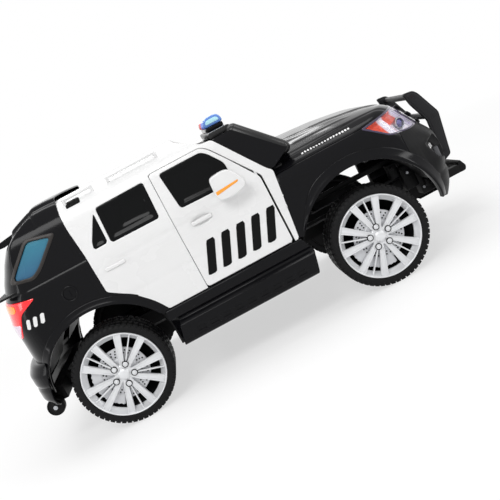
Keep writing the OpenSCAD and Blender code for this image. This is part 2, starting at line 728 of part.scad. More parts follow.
// ---- Trolley gear ----
module handle() {
    x1 = handle_x;
    both_sides() block(x1 - 170, x1 - 11, handle_w / 2 - leg_w / 2, handle_w / 2 + leg_w / 2,
        leg_z - leg_h / 2, leg_z + leg_h / 2);
    across([[x1 - 24, leg_z - leg_h / 2], [x1 - 6, leg_z - 12], [x1, leg_z], [x1 - 12, leg_z + 24],
        [x1 - 22, leg_z + 18]], -handle_w / 2 - leg_w / 2, handle_w / 2 + leg_w / 2);
}
module trolley_bracket() {
    both_sides() {
        across([[tail_beam_x - seam, floor_z], [tail_beam_x - seam, floor_z + 26],
            [trolley_x - 6, trolley_z + 10], [trolley_x - 12, trolley_z], [trolley_x - 4, trolley_z - 10]],
            bracket_y, bracket_y + 12);
        rod_y(trolley_x, trolley_z, 4, bracket_y + 10, bracket_y + 44);
    }
}
module trolley_wheel() {
    y0 = bracket_y + 15;
    difference() {
        translate([trolley_x, y0, trolley_z]) rotate([-90, 0, 0]) rotate_extrude()
            polygon([[0, 0], [trolley_r - 3, 0], [trolley_r, 3], [trolley_r, 22], [trolley_r - 3, 25], [0, 25]]);
        rod_y(trolley_x, trolley_z, 4 + axle_play, 0, far);
    }
}

module white() { color([0.95, 0.95, 0.95]) placed() children(); }
module black() { color([0.08, 0.08, 0.09]) placed() children(); }
module dark() { color([0.16, 0.16, 0.17]) placed() children(); }
module silver() { color([0.75, 0.76, 0.78]) placed() children(); }

dark() floor_tub();
dark() seat();
dark() rear_shelf();
dark() battery();
dark() dashboard();
white() mirrored() side_panel();  // side_panel_right
white() side_panel();  // side_panel_left
black() both_sides() {  // rear_side_windows
    window_fill(rear_window, pane_gap);
    window_fill(rear_quarter, pane_gap);
}
black() hood();
black() mirrored() fender();  // fender_right
black() fender();  // fender_left
color([0.75, 0.7, 0.8]) placed() headlights();
black() front_bumper();
dark() grille();
black() push_bar();
black() windshield_frame();
color([0.2, 0.22, 0.24, 0.6]) placed() windshield();
black() light_base();  // light_bar_base
color([0.85, 0.1, 0.1]) placed() light_lens(0.3, 150);  // light_bar_red
color([0.1, 0.2, 0.9]) placed() light_lens(-150, -0.3);  // light_bar_blue
black() mirrored() running_board();  // running_board_right
black() running_board();  // running_board_left
black() rear_body();
dark() rear_window_pane();  // rear_window
color([0.24, 0.45, 0.59]) placed() pillar_windows();
color([0.8, 0.1, 0.12]) placed() tail_lamps();
black() spoiler();
black() rear_bumper();
white() roof_rails();
silver() rear_axle();
dark() gearboxes();
dark() front_beam();
dark() trolley_bracket();
white() mirrored() door();  // door_right
black() mirrored() window_fill(door_window, pane_gap);  // door_window_right
white() mirrored() mirror_pod();  // mirror_right
white() door();  // door_left
black() window_fill(door_window, pane_gap);  // door_window_left
white() mirror_pod();  // mirror_left
black() steering_wheel();
silver() tie_rod();
dark() mirrored() knuckle();  // knuckle_right
dark() knuckle();  // knuckle_left
dark() mirrored() wheel_at(front_x) tyre();  // tyre_front_right
silver() mirrored() wheel_at(front_x) rim();  // rim_front_right
dark() wheel_at(front_x) tyre();  // tyre_front_left
silver() wheel_at(front_x) rim();  // rim_front_left
dark() mirrored() wheel_at(rear_x) tyre();  // tyre_rear_right
silver() mirrored() wheel_at(rear_x) rim();  // rim_rear_right
dark() wheel_at(rear_x) tyre();  // tyre_rear_left
silver() wheel_at(rear_x) rim();  // rim_rear_left
black() handle();
black() mirrored() trolley_wheel();  // trolley_wheel_right
black() trolley_wheel();  // trolley_wheel_left
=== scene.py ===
"""Child's ride-on police SUV: moulded body panels, wheels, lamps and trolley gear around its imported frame."""
import math

import bmesh
import bpy
import numpy as np
from mathutils import Matrix, Vector


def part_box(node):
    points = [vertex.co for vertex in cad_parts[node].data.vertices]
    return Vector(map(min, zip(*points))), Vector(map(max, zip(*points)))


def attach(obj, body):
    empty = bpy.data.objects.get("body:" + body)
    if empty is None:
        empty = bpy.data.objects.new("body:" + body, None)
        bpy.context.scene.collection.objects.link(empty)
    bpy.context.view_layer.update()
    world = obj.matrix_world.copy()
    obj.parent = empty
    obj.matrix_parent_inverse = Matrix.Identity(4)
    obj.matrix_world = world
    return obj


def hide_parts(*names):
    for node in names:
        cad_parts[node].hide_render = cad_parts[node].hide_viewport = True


bl_info = {
    "name": "Ride-on police SUV",
    "version": (1, 0, 0),
    "blender": (4, 5, 0),
    "location": "View3D > Sidebar > Toy SUV",
    "description": "Builds the body panels, wheels, lamps and trolley gear of a ride-on toy SUV",
    "category": "Add Mesh",
}

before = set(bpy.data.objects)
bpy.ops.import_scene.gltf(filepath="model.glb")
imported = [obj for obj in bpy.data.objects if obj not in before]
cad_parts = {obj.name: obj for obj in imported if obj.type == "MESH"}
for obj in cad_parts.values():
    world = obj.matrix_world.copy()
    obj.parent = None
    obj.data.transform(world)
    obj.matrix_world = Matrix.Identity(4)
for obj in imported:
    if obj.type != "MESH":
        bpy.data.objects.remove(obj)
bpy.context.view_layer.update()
MM = 0.001


def span(node):
    """Lowest and highest corners of a node, in millimetres."""
    low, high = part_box(node)
    return [v / MM for v in low], [v / MM for v in high]


def middle(node, axis):
    """Middle of a node along one axis, in millimetres."""
    low, high = span(node)
    return (low[axis] + high[axis]) / 2


# The frame's driving places. Shapes are drawn in millimetres with X = 0 midway between the axles.
MID_X = -(middle("tyre_front_left", 0) + middle("tyre_rear_left", 0)) / 2
FRONT_X = middle("tyre_front_left", 0) + MID_X
REAR_X = middle("tyre_rear_left", 0) + MID_X
AXLE_Z = middle("tyre_front_left", 2)
TYRE_R = span("tyre_front_left")[1][2] - AXLE_Z
RIM_R = span("rim_front_left")[1][2] - AXLE_Z
HALF_W = span("door_left")[1][1]
SILL_Z = span("running_board_left")[1][2]
NOSE_X = span("front_bumper")[1][0] + MID_X
TAIL_X = span("rear_body")[0][0] + MID_X
ROOF_Z = span("side_panel_left")[1][2]
HANDLE_X = span("handle")[1][0] + MID_X
STEER_CENTRE = (60, 122, 436)
STEER_SHAFT = 396

BELT_Z = 425
WINDOW_Z = 535
SEAM_Z = 397
ARCH_FRONT = 197
ARCH_REAR = 186
NOSE_START = NOSE_X - 232
TAIL_START = TAIL_X + 190
SIDES = ((-1, "right"), (1, "left"))
SIDE_VIEW = (0, 2)
END_VIEW = (1, 2)


# ---- Outlines and forms

def rounded(points, radius, steps=5):
    """The outline with each corner drawn as a smooth arc."""
    made = []
    count = len(points)
    for i, corner in enumerate(points):
        p = Vector(corner)
        before, after = Vector(points[i - 1]) - p, Vector(points[(i + 1) % count]) - p
        a = p + before * min(radius / before.length, 0.48)
        b = p + after * min(radius / after.length, 0.48)
        for k in range(steps + 1):
            t = k / steps
            made.append(a * (1 - t) ** 2 + p * 2 * t * (1 - t) + b * t * t)
    return [tuple(p) for p in made]


def outside(points, outline):
    """Distance of each point (two columns) from an outline: positive outside it, negative inside."""
    best = np.full(len(points), 1e18)
    inside = np.zeros(len(points), bool)
    px, pz = points[:, 0], points[:, 1]
    for (ax, az), (bx, bz) in zip(outline, outline[1:] + outline[:1]):
        ex, ez = bx - ax, bz - az
        length = ex * ex + ez * ez
        if length < 1e-9:
            continue
        t = np.clip(((px - ax) * ex + (pz - az) * ez) / length, 0, 1)
        best = np.minimum(best, (px - ax - t * ex) ** 2 + (pz - az - t * ez) ** 2)
        crosses = (az > pz) != (bz > pz)
        if ez:
            inside ^= crosses & (px < ax + (pz - az) * ex / ez)
    return np.where(inside, -1, 1) * np.sqrt(best)


def curve(points, soft=10):
    """A smooth height along a line of (place, height) points."""
    points = sorted(points)
    places = np.arange(points[0][0] - 2 * soft, points[-1][0] + 2 * soft, 1.0)
    heights = np.interp(places, [p[0] for p in points], [p[1] for p in points])
    kernel = np.hanning(2 * soft + 3)[1:-1]
    padded = np.pad(heights, soft, mode="edge")
    heights = np.convolve(padded, kernel / kernel.sum(), mode="valid")
    return lambda q: np.interp(q, places, heights)


def ease(t):
    """Smooth step from 0 to 1."""
    t = np.clip(t, 0, 1)
    return t * t * (3 - 2 * t)


def both_limits(a, b, radius):
    """The larger of two distances, with the edge between them rounded."""
    edge = np.hypot(np.maximum(a + radius, 0), np.maximum(b + radius, 0)) - radius
    return np.where((a > -radius) & (b > -radius), edge, np.maximum(a, b))


def end_plan(start, tip, width):
    """Plan outline of one end of the body, for a distance in (x, y)."""
    sign = 1 if tip > start else -1
    points = [(start - sign * 900, width)]
    for k in range(25):
        angle = math.pi / 2 * k / 24
        along = math.sin(angle) ** (2 / 3.5)
        points.append((start + (tip - start) * along, width * math.cos(angle) ** (2 / 3)))
    return points + [(tip, -60), (start - sign * 900, -60)]


NOSE_PLAN = end_plan(NOSE_START, NOSE_X, HALF_W)
TAIL_PLAN = end_plan(TAIL_START, TAIL_X, HALF_W + 8)
nose_front = curve([(40, 600), (100, 604), (112, 610), (125, 621), (160, 642), (190, 650), (230, 650),
                    (292, 643), (340, 627), (384, 598), (410, 578), (470, 540)], 12)
hood_line = curve([(100, 462), (170, 460), (267, 456), (300, 449), (410, 440), (506, 426), (556, 413),
                   (586, 399), (608, 380), (650, 346)], 16)
hood_cross = curve([(-40, 463), (0, 463), (120, 459), (152, 457), (176, 445), (200, 439), (255, 425),
                    (286, 407), (304, 388), (314, 370), (330, 335)], 7)
tail_back = curve([(40, -586), (300, -589), (357, -590), (417, -577), (466, -555), (510, -526),
                   (546, -494), (572, -450), (590, -400), (640, -300)], 14)
roof_back = curve([(-620, 470), (-560, 530), (-495, 566), (-450, 582), (-415, 593), (-380, 598),
                   (-340, 599), (-316, 596), (-250, 590)], 10)
CABIN_SECTION = rounded([(-60, 20), (HALF_W, 20), (HALF_W, BELT_Z - 2), (HALF_W - 28, WINDOW_Z + 14),
                         (HALF_W - 43, ROOF_Z - 20), (HALF_W - 75, ROOF_Z - 1), (HALF_W - 110, ROOF_Z),
                         (-60, ROOF_Z + 4)], 26, 8)


def nose_form(p):
    """The nose: its plan pulled back by nose_front at each height, under the hood."""
    x, y, z = p[:, 0], np.abs(p[:, 1]), p[:, 2]
    plan = outside(np.column_stack([x + NOSE_X - nose_front(z), y]), NOSE_PLAN)
    crown = 3 * (1 - (y / HALF_W) ** 2)
    top = both_limits(z - hood_line(x) - crown, z - hood_cross(y), 16)
    return both_limits(plan, top * 0.9, 15)


def tail_form(p):
    """The tail: its plan drawn in by tail_back at each height, inside the cabin section and roof."""
    x, y, z = p[:, 0], np.abs(p[:, 1]), p[:, 2]
    slide = tail_back(z)
    reach = 190 - 80 * ease((z - 470) / 100)
    plan = outside(np.column_stack([TAIL_X + (x - slide) * 190 / reach, y]), TAIL_PLAN)
    side = outside(np.column_stack([y, z]), TALL_SECTION)
    return both_limits(both_limits(plan, side, 5), z - roof_back(x) - 2 * (1 - (y / 220) ** 2), 16)


TALL_SECTION = rounded([(-60, 20), (HALF_W, 20), (HALF_W, BELT_Z - 2), (HALF_W - 28, WINDOW_Z + 14),
                        (HALF_W - 43, ROOF_Z - 20), (HALF_W - 62, ROOF_Z + 8), (HALF_W - 110, ROOF_Z + 16),
                        (-60, ROOF_Z + 16)], 26, 8)


def cabin_form(p):
    """The cabin, the same section all along."""
    return outside(p[:, 1:], CABIN_SECTION)


# ---- Mesh tools

def places(bm):
    """The mesh's points as rows of x, y and z."""
    return np.array([v.co[:] for v in bm.verts]).reshape(-1, 3)


def set_places(bm, points):
    for v, p in zip(bm.verts, points):
        v.co = p


def normals(bm):
    bm.normal_update()
    return np.array([v.normal[:] for v in bm.verts]).reshape(-1, 3)


def move(bm, shift):
    """Moves each point along its normal by shift(points) millimetres."""
    points = places(bm)
    set_places(bm, points + normals(bm) * shift(points)[:, None])


def form_sheet(form, low, high, core_low, core_high, cell, kept):
    """A box of even cells, drawn in from all sides on to a form. kept names the box sides that stay."""
    bm = bmesh.new()
    bmesh.ops.create_cube(bm, size=1)
    size = [b - a for a, b in zip(low, high)]
    bmesh.ops.scale(bm, vec=size, verts=bm.verts)
    bmesh.ops.translate(bm, vec=[(a + b) / 2 for a, b in zip(low, high)], verts=bm.verts)
    for axis in range(3):
        lines = [e for e in bm.edges
                 if abs(e.verts[0].co[axis] - e.verts[1].co[axis]) > size[axis] * 0.9]
        bmesh.ops.subdivide_edges(bm, edges=lines, cuts=max(1, round(size[axis] / cell[axis]) - 1),
                                  use_grid_fill=True)
    bm.normal_update()
    sides = {"+x": (1, 0, 0), "-x": (-1, 0, 0), "+y": (0, 1, 0), "+z": (0, 0, 1)}
    dropped = [f for f in bm.faces if not any(f.normal.dot(Vector(sides[k])) > 0.9 for k in kept)]
    bmesh.ops.delete(bm, geom=dropped, context="FACES")
    box = places(bm)
    core = np.clip(box, core_low, core_high)
    near, far = np.zeros(len(box)), np.full(len(box), 1.35)
    for _ in range(20):
        t = (near + far) / 2
        inside = form(core + (box - core) * t[:, None]) < 0
        near, far = np.where(inside, t, near), np.where(inside, far, t)
    set_places(bm, core + (box - core) * near[:, None])
    return bm


def trim(bm, signed, snap=0.3):
    """Cuts the sheet along the line where signed(points) is 0, and drops the side where it is positive."""
    bm.verts.index_update()
    value = list(signed(places(bm)))
    bm.verts.ensure_lookup_table()
    for edge in bm.edges:
        a, b = edge.verts
        va, vb = value[a.index], value[b.index]
        if va * vb >= 0:
            continue
        t = va / (va - vb)
        for v, other, share in ((a, b, t), (b, a, 1 - t)):
            if share < snap and (edge.is_boundary or not v.is_boundary):
                v.co = v.co.lerp(other.co, share)
                value[v.index] = 0
                break
    crossing = [e for e in bm.edges if value[e.verts[0].index] * value[e.verts[1].index] < 0]
    on_line = {v for v in bm.verts if value[v.index] == 0}
    tagged = {v: value[v.index] for v in bm.verts}
    for edge in crossing:
        a, b = edge.verts
        share = tagged[a] / (tagged[a] - tagged[b])
        _, made = bmesh.utils.edge_split(edge, a, share)
        tagged[made] = 0
        on_line.add(made)
    bmesh.ops.connect_verts(bm, verts=list(on_line))
    dropped = [f for f in bm.faces if sum(tagged[v] for v in f.verts) > 0]
    bmesh.ops.delete(bm, geom=dropped, context="FACES")


def keep_in(outline, columns=SIDE_VIEW):
    """Test for trim() that keeps what lies inside an outline."""
    return lambda p: outside(p[:, columns], outline)


def keep_out(outline, columns=SIDE_VIEW):
    """Test for trim() that drops what lies inside an outline."""
    return lambda p: -outside(p[:, columns], outline)


def beyond(edge, gap=0.0):
    """Test for trim() that drops what lies inside edge(points), widened by gap."""
    return lambda p: -edge(p) - gap


def even(depth):
    """Shift for move() that is the same all over."""
    return lambda p: np.full(len(p), depth)


def axis_limit(axis, limit, sign):
    """Test for trim() that drops what lies past a plane across X, Y or Z."""
    return lambda p: sign * (p[:, axis] - limit)


def off_arch(x, radius):
    """Test for trim() that drops what lies inside a wheel arch."""
    return lambda p: radius - np.hypot(p[:, 0] - x, p[:, 2] - AXLE_Z)


def swing(bm, angle, verts):
    """Turns vertices about the Y axis through the origin."""
    bmesh.ops.rotate(bm, cent=(0, 0, 0), matrix=Matrix.Rotation(angle, 3, "Y"), verts=verts)


def block(bm, low, high):
    """A box between two corners, added to the mesh. Returns its new vertices."""
    made = bmesh.ops.create_cube(bm, size=1)["verts"]
    bmesh.ops.scale(bm, vec=[b - a for a, b in zip(low, high)], verts=made)
    bmesh.ops.translate(bm, vec=[(a + b) / 2 for a, b in zip(low, high)], verts=made)
    return made


def plate(bm, outline, y0, y1):
    """A side-view outline pushed through from y0 to y1. Returns its new vertices."""
    ring = [bm.verts.new((x, y0, z)) for x, z in outline]
    face = bm.faces.new(ring)
    made = bmesh.ops.extrude_face_region(bm, geom=[face])["geom"]
    top = [v for v in made if isinstance(v, bmesh.types.BMVert)]
    bmesh.ops.translate(bm, vec=(0, y1 - y0, 0), verts=top)
    bmesh.ops.recalc_face_normals(bm, faces=list({f for v in ring + top for f in v.link_faces}))
    return ring + top


def rod(bm, start, end, radius, segments=24):
    """A round bar between two points, added to the mesh."""
    a, b = Vector(start), Vector(end)
    turn = (b - a).to_track_quat("Z", "Y").to_matrix().to_4x4()
    bmesh.ops.create_cone(bm, cap_ends=True, segments=segments, radius1=radius, radius2=radius,
                          depth=(b - a).length, matrix=Matrix.Translation((a + b) / 2) @ turn)


def turned(bm, profile, steps=64, centre=(0, 0, 0), axis=(0, 1, 0), close=True):
    """Spins a profile of (radius, height) points about Y, then turns Y to the axis."""
    ring = [bm.verts.new((r, h, 0)) for r, h in profile]
    edges = [bm.edges.new(pair) for pair in zip(ring, ring[1:])]
    if close:
        edges.append(bm.edges.new((ring[-1], ring[0])))
    before = set(bm.faces)
    bmesh.ops.spin(bm, geom=ring + edges, cent=(0, 0, 0), axis=(0, 1, 0), angle=2 * math.pi, steps=steps,
                   use_merge=True)
    faces = [f for f in bm.faces if f not in before]
    verts = list(dict.fromkeys(v for f in faces for v in f.verts))
    bmesh.ops.remove_doubles(bm, verts=verts, dist=0.01)
    faces = [f for f in bm.faces if f not in before]
    bmesh.ops.recalc_face_normals(bm, faces=faces)
    verts = list(dict.fromkeys(v for f in faces for v in f.verts))
    turn = Vector((0, 1, 0)).rotation_difference(Vector(axis)).to_matrix()
    bmesh.ops.rotate(bm, cent=(0, 0, 0), matrix=turn, verts=verts)
    bmesh.ops.translate(bm, vec=centre, verts=verts)


def mirrored(bm):
    """Turns a left-hand piece into a right-hand one, with its faces still pointing outwards."""
    bmesh.ops.scale(bm, vec=(1, -1, 1), verts=bm.verts)
    bmesh.ops.reverse_faces(bm, faces=bm.faces)


def doubled(bm):
    """Adds the mirror image across the middle plane, and joins the two where they meet."""
    made = bmesh.ops.duplicate(bm, geom=list(bm.verts) + list(bm.edges) + list(bm.faces))["geom"]
    verts = [g for g in made if isinstance(g, bmesh.types.BMVert)]
    faces = [g for g in made if isinstance(g, bmesh.types.BMFace)]
    bmesh.ops.scale(bm, vec=(1, -1, 1), verts=verts)
    bmesh.ops.reverse_faces(bm, faces=faces)
    bmesh.ops.remove_doubles(bm, verts=bm.verts, dist=0.02)


def soften(bm, width, segments=2, angle=40):
    """Bevels the edges sharper than an angle."""
    bm.normal_update()
    sharp = [e for e in bm.edges if len(e.link_faces) == 2 and e.calc_face_angle(0) > math.radians(angle)]
    if sharp:
        bmesh.ops.bevel(bm, geom=sharp, offset=width, segments=segments, affect="EDGES", profile=0.5,
                        material=-1, clamp_overlap=True)


THIN_WALL = 3
MADE = {}


def to_object(name, bm):
    """Turns a finished mesh into an object in the scene."""
    mesh = bpy.data.meshes.new(name)
    bm.to_mesh(mesh)
    bm.free()
    made = bpy.data.objects.new(name, mesh)
    bpy.context.scene.collection.objects.link(made)
    return made


def piece(name, bm, body, finish, nodes=(), wall=0, bevel=0, smooth=35, side=1):
    """Finishes a mesh in millimetres as an object in the frame that rides on a body. Left is side 1."""
    if side < 0:
        mirrored(bm)
    bmesh.ops.translate(bm, vec=(-MID_X, 0, 0), verts=bm.verts)
    bmesh.ops.scale(bm, vec=(MM, MM, MM), verts=bm.verts)
    made = to_object(name, bm)
    if wall:
        solid = made.modifiers.new("Wall", "SOLIDIFY")
        solid.thickness = wall * MM
        solid.offset = -1
        solid.use_even_offset = wall > THIN_WALL
    if bevel:
        edge = made.modifiers.new("Edge", "BEVEL")
        edge.width = bevel * MM
        edge.segments = 2
        edge.limit_method = "ANGLE"
        edge.angle_limit = math.radians(50)
    if wall or bevel:
        graph = bpy.context.evaluated_depsgraph_get()
        baked = bpy.data.meshes.new_from_object(made.evaluated_get(graph))
        made.modifiers.clear()
        made.data = baked
    made.data.shade_smooth()
    made.data.set_sharp_from_angle(angle=math.radians(smooth))
    made.data.materials.clear()
    made.data.materials.append(MADE[finish])
    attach(made, body)
    if nodes:
        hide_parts(*nodes)


# ---- Materials

WHITE = (1, 1, 1, 1)


def node_group(name, inputs, outputs):
    """A shader group. Returns its tree, what it is given and what it puts out."""
    tree = bpy.data.node_groups.new(name, "ShaderNodeTree")
    for label, kind, default in inputs:
        socket = tree.interface.new_socket(label, in_out="INPUT", socket_type=kind)
        socket.default_value = default
    for label, kind in outputs:
        tree.interface.new_socket(label, in_out="OUTPUT", socket_type=kind)
    return tree, tree.nodes.new("NodeGroupInput").outputs, tree.nodes.new("NodeGroupOutput").inputs


def add(tree, kind, links=(), **values):
    """A new node with its settings, and links given as (socket, source)."""
    made = tree.nodes.new(kind)
    for key, value in values.items():
        setattr(made, key, value)
    for socket, source in links:
        if isinstance(source, bpy.types.NodeSocket):
            tree.links.new(source, made.inputs[socket])
        else:
            made.inputs[socket].default_value = source
    return made


def noise(tree, vector, scale, detail=3.0, roughness=0.5):
    """Cloudy noise from 0 to 1."""
    return add(tree, "ShaderNodeTexNoise", [("Vector", vector), ("Scale", scale), ("Detail", detail),
                                            ("Roughness", roughness)]).outputs["Fac"]


def remap(tree, value, low, high, to_low=0.0, to_high=1.0):
    """A value spread from one range to another, and clamped."""
    return add(tree, "ShaderNodeMapRange", [("Value", value), ("From Min", low), ("From Max", high),
                                            ("To Min", to_low), ("To Max", to_high)]).outputs["Result"]


def tint(tree, share, a, b):
    """Colour a where share is 0, turning to b where it is 1."""
    return add(tree, "ShaderNodeMix", [(0, share), (6, a), (7, b)], data_type="RGBA").outputs[2]


def maths(tree, operation, *values, clamp=False):
    """The result of one Math node on values or sockets."""
    return add(tree, "ShaderNodeMath", enumerate(values), operation=operation, use_clamp=clamp).outputs[0]


def object_place(tree):
    """Each point's place in the frame."""
    return add(tree, "ShaderNodeTexCoord").outputs["Object"]


def empty_tree(owner):
    """Gives a material or a world an empty node tree."""
    owner.use_nodes = True
    owner.node_tree.nodes.clear()
    return owner.node_tree


def make_finish_group():
    """Moulded plastic in use: cloudy gloss, hairline scratches, settled dust and a fine mould grain."""
    tree, given, put = node_group(
        "Moulded finish",
        [("Color", "NodeSocketColor", (0.5, 0.5, 0.5, 1)),
         ("Dust color", "NodeSocketColor", (0.5, 0.5, 0.5, 1)),
         ("Roughness", "NodeSocketFloat", 0.2), ("Cloud", "NodeSocketFloat", 0.06),
         ("Scratch", "NodeSocketFloat", 0.08), ("Dust", "NodeSocketFloat", 0.05),
         ("Grain scale", "NodeSocketFloat", 900.0)],
        [("Color", "NodeSocketColor"), ("Roughness", "NodeSocketFloat"), ("Height", "NodeSocketFloat")])
    place = add(tree, "ShaderNodeTexCoord").outputs
    cloud = noise(tree, place["Object"], 9.0, 4.0)
    streak = add(tree, "ShaderNodeMapping", [("Vector", place["Object"]), ("Rotation", (0.3, 0.2, 0.5)),
                                             ("Scale", (14.0, 14.0, 900.0))]).outputs["Vector"]
    scratch = remap(tree, noise(tree, streak, 1.0, 2.0), 0.66, 0.74)
    patch = remap(tree, noise(tree, place["Object"], 22.0, 5.0, 0.65), 0.42, 0.75)
    facing = add(tree, "ShaderNodeSeparateXYZ", [("Vector", place["Normal"])]).outputs["Z"]
    upward = remap(tree, facing, 0.2, 1.0)
    dusty = maths(tree, "MULTIPLY", maths(tree, "MULTIPLY", upward, patch), given["Dust"])
    tree.links.new(tint(tree, dusty, given["Color"], given["Dust color"]), put["Color"])
    rough = given["Roughness"]
    for mask, share in ((cloud, given["Cloud"]), (scratch, given["Scratch"]), (dusty, 0.5)):
        rough = maths(tree, "MULTIPLY_ADD", mask, share, rough)
    tree.links.new(rough, put["Roughness"])
    tree.links.new(noise(tree, place["Object"], given["Grain scale"], 2.0), put["Height"])


def linear(r, g, b):
    """An sRGB colour, 0 to 255, as the linear colour that a shader takes."""
    return tuple(((c / 255 + 0.055) / 1.055) ** 2.4 if c > 10 else c / 255 / 12.92 for c in (r, g, b)) + (1,)


def plastic(name, colour, roughness, cloud=0.06, scratch=0.06, dust=0.05, grain=900.0, bump=0.00004,
            coat=0.0, metallic=0.0, dust_colour=(0.45, 0.44, 0.42, 1), emission=None, specular=0.5):
    """A moulded plastic with the shared finish. colour is a colour, or a function that draws one."""
    made = bpy.data.materials.new(name)
    tree = empty_tree(made)
    shader = tree.nodes.new("ShaderNodeBsdfPrincipled")
    out = tree.nodes.new("ShaderNodeOutputMaterial")
    tree.links.new(shader.outputs[0], out.inputs["Surface"])
    finish = tree.nodes.new("ShaderNodeGroup")
    finish.node_tree = bpy.data.node_groups["Moulded finish"]
    for label, value in (("Roughness", roughness), ("Cloud", cloud), ("Scratch", scratch), ("Dust", dust),
                         ("Grain scale", grain), ("Dust color", dust_colour)):
        finish.inputs[label].default_value = value
    painted = colour(tree) if callable(colour) else None
    if dust:
        finish.inputs["Color"].default_value = WHITE if painted else colour
        tree.links.new(finish.outputs["Color"], shader.inputs["Base Color"])
    else:
        shader.inputs["Base Color"].default_value = WHITE if painted else colour
    if painted:
        tree.links.new(painted, finish.inputs["Color"] if dust else shader.inputs["Base Color"])
    tree.links.new(finish.outputs["Roughness"], shader.inputs["Roughness"])
    rise = add(tree, "ShaderNodeBump", [("Height", finish.outputs["Height"]), ("Distance", bump),
                                        ("Strength", 1.0)])
    tree.links.new(rise.outputs[0], shader.inputs["Normal"])
    shader.inputs["Coat Weight"].default_value = coat
    shader.inputs["Coat Roughness"].default_value = 0.04
    shader.inputs["Metallic"].default_value = metallic
    shader.inputs["Specular IOR Level"].default_value = specular
    if emission:
        shader.inputs["Emission Color"].default_value = emission[0]
        shader.inputs["Emission Strength"].default_value = emission[1]
    return made


def clear(name, colour):
    """A clear moulding: tinted transmission with a trace of surface haze."""
    made = plastic(name, colour, 0.03, cloud=0.02, scratch=0.05, dust=0.0)
    shader = made.node_tree.nodes["Principled BSDF"]
    shader.inputs["Transmission Weight"].default_value = 1.0
    shader.inputs["IOR"].default_value = 1.3
    return made


def make_materials(look):
    make_finish_group()
    MADE.update(
        white=plastic("White gloss plastic", tuple(look.white) + (1,), 0.24, coat=0.15, scratch=0.05,
                      dust=0.02, dust_colour=(0.62, 0.61, 0.59, 1)),
        black=plastic("Black gloss plastic", tuple(look.black) + (1,), 0.12, cloud=0.04, scratch=0.03,
                      dust=0.02, bump=0.00001, dust_colour=(0.05, 0.05, 0.05, 1), specular=0.13),
        trim=plastic("Black frame plastic", linear(10, 10, 11), 0.3, cloud=0.05, dust=0.02,
                     dust_colour=(0.06, 0.06, 0.06, 1), specular=0.42),
        dark=plastic("Black satin plastic", linear(14, 14, 15), 0.4, cloud=0.12, dust=0.05, grain=1400,
                     bump=0.0001, dust_colour=(0.08, 0.08, 0.08, 1), specular=0.14),
        grey=plastic("Grey satin plastic", linear(30, 30, 32), 0.34, cloud=0.1, dust=0.05, grain=1400,
                     bump=0.0001, dust_colour=(0.1, 0.1, 0.1, 1), specular=0.2),
        silver=plastic("Silver plastic", linear(226, 227, 229), 0.3, metallic=0.25, dust=0.06, coat=0.1,
                       dust_colour=(0.35, 0.34, 0.33, 1)),
        disc=plastic("Brake disc silver", linear(208, 209, 212), 0.4, metallic=0.2, scratch=0.2, dust=0.1,
                     dust_colour=(0.3, 0.3, 0.3, 1)),
        tyre=plastic("Tyre plastic", linear(15, 15, 16), 0.46, cloud=0.14, dust=0.12, grain=700,
                     bump=0.00015, dust_colour=(0.08, 0.076, 0.07, 1), specular=0.16),
        steel=plastic("Zinc plated steel", linear(176, 178, 182), 0.34, metallic=1.0, scratch=0.2,
                      dust=0.1),
        pane=plastic("Window gloss black", linear(10, 11, 12), 0.1, cloud=0.05, dust=0.02,
                     dust_colour=(0.06, 0.06, 0.06, 1), specular=0.1),
        blue_pane=plastic("Blue tinted window", tint_of_blue, 0.12, cloud=0.3, dust=0.03, specular=0.3),
        screen=plastic("Windshield tint", linear(22, 24, 27), 0.08, dust=0.03, specular=0.4),
        red=plastic("Red lamp", linear(235, 12, 24), 0.12, coat=0.5, dust=0.02,
                    emission=(linear(235, 12, 24), 0.35)),
        orange=plastic("Orange lamp", linear(250, 140, 20), 0.14, coat=0.5, dust=0.02,
                       emission=(linear(250, 140, 20), 0.3)),
        pale=plastic("Pale lamp", linear(236, 214, 232), 0.14, coat=0.5, dust=0.02),
        orange_trim=plastic("Orange reflector", linear(248, 160, 40), 0.2, coat=0.3),
        # The lamp bowl's colour holds painted white reflections and a painted white highlight.
        bowl=plastic("Lamp bowl", bowl_colour_with_painted_reflections, 0.2, dust=0.0, specular=0.3),
        lens=clear("Clear lens", (0.97, 0.96, 1.0, 1)),
        purple=plastic("Lamp border", linear(46, 34, 66), 0.12, coat=0.6, dust=0.0),
        fog=plastic("Grey satin moulding", linear(92, 93, 96), 0.4, dust=0.05, specular=0.3),
        globe=plastic("Lamp globe", linear(92, 88, 150), 0.08, metallic=0.4, coat=0.5, dust=0.0),
        brown=plastic("Window band", linear(40, 36, 34), 0.34, dust=0.03, specular=0.3),
        cap_blue=plastic("Light bar end blue", linear(104, 150, 230), 0.12, coat=0.3, dust=0.02),
        cap_glow=plastic("Light bar end window", linear(186, 236, 246), 0.12, dust=0.0,
                         emission=(linear(186, 236, 246), 0.15)),
        cap_red=plastic("Light bar end red", linear(190, 20, 34), 0.12, coat=0.5, dust=0.02),
        bar_red=plastic("Light bar red", linear(214, 24, 40), 0.1, coat=0.6, dust=0.02,
                        emission=(linear(214, 24, 40), 0.25)),
        bar_blue=plastic("Light bar blue", linear(60, 110, 215), 0.1, coat=0.6, dust=0.02,
                         emission=(linear(50, 105, 225), 0.3)),
        # Black film: stands in for print on the doors, and is painted slot shade on the roof shoulders.
        mark_black=plastic("Black film mark", linear(8, 8, 8), 0.3, dust=0.01, specular=0.12),
        mark_white=plastic("White film mark", linear(232, 232, 232), 0.3, dust=0.02),
    )


def tint_of_blue(tree):
    """Blue that fades from slate below to teal above."""
    up = add(tree, "ShaderNodeSeparateXYZ", [("Vector", object_place(tree))]).outputs["Z"]
    return tint(tree, remap(tree, up, 0.45, 0.54), linear(50, 92, 128), linear(52, 128, 150))


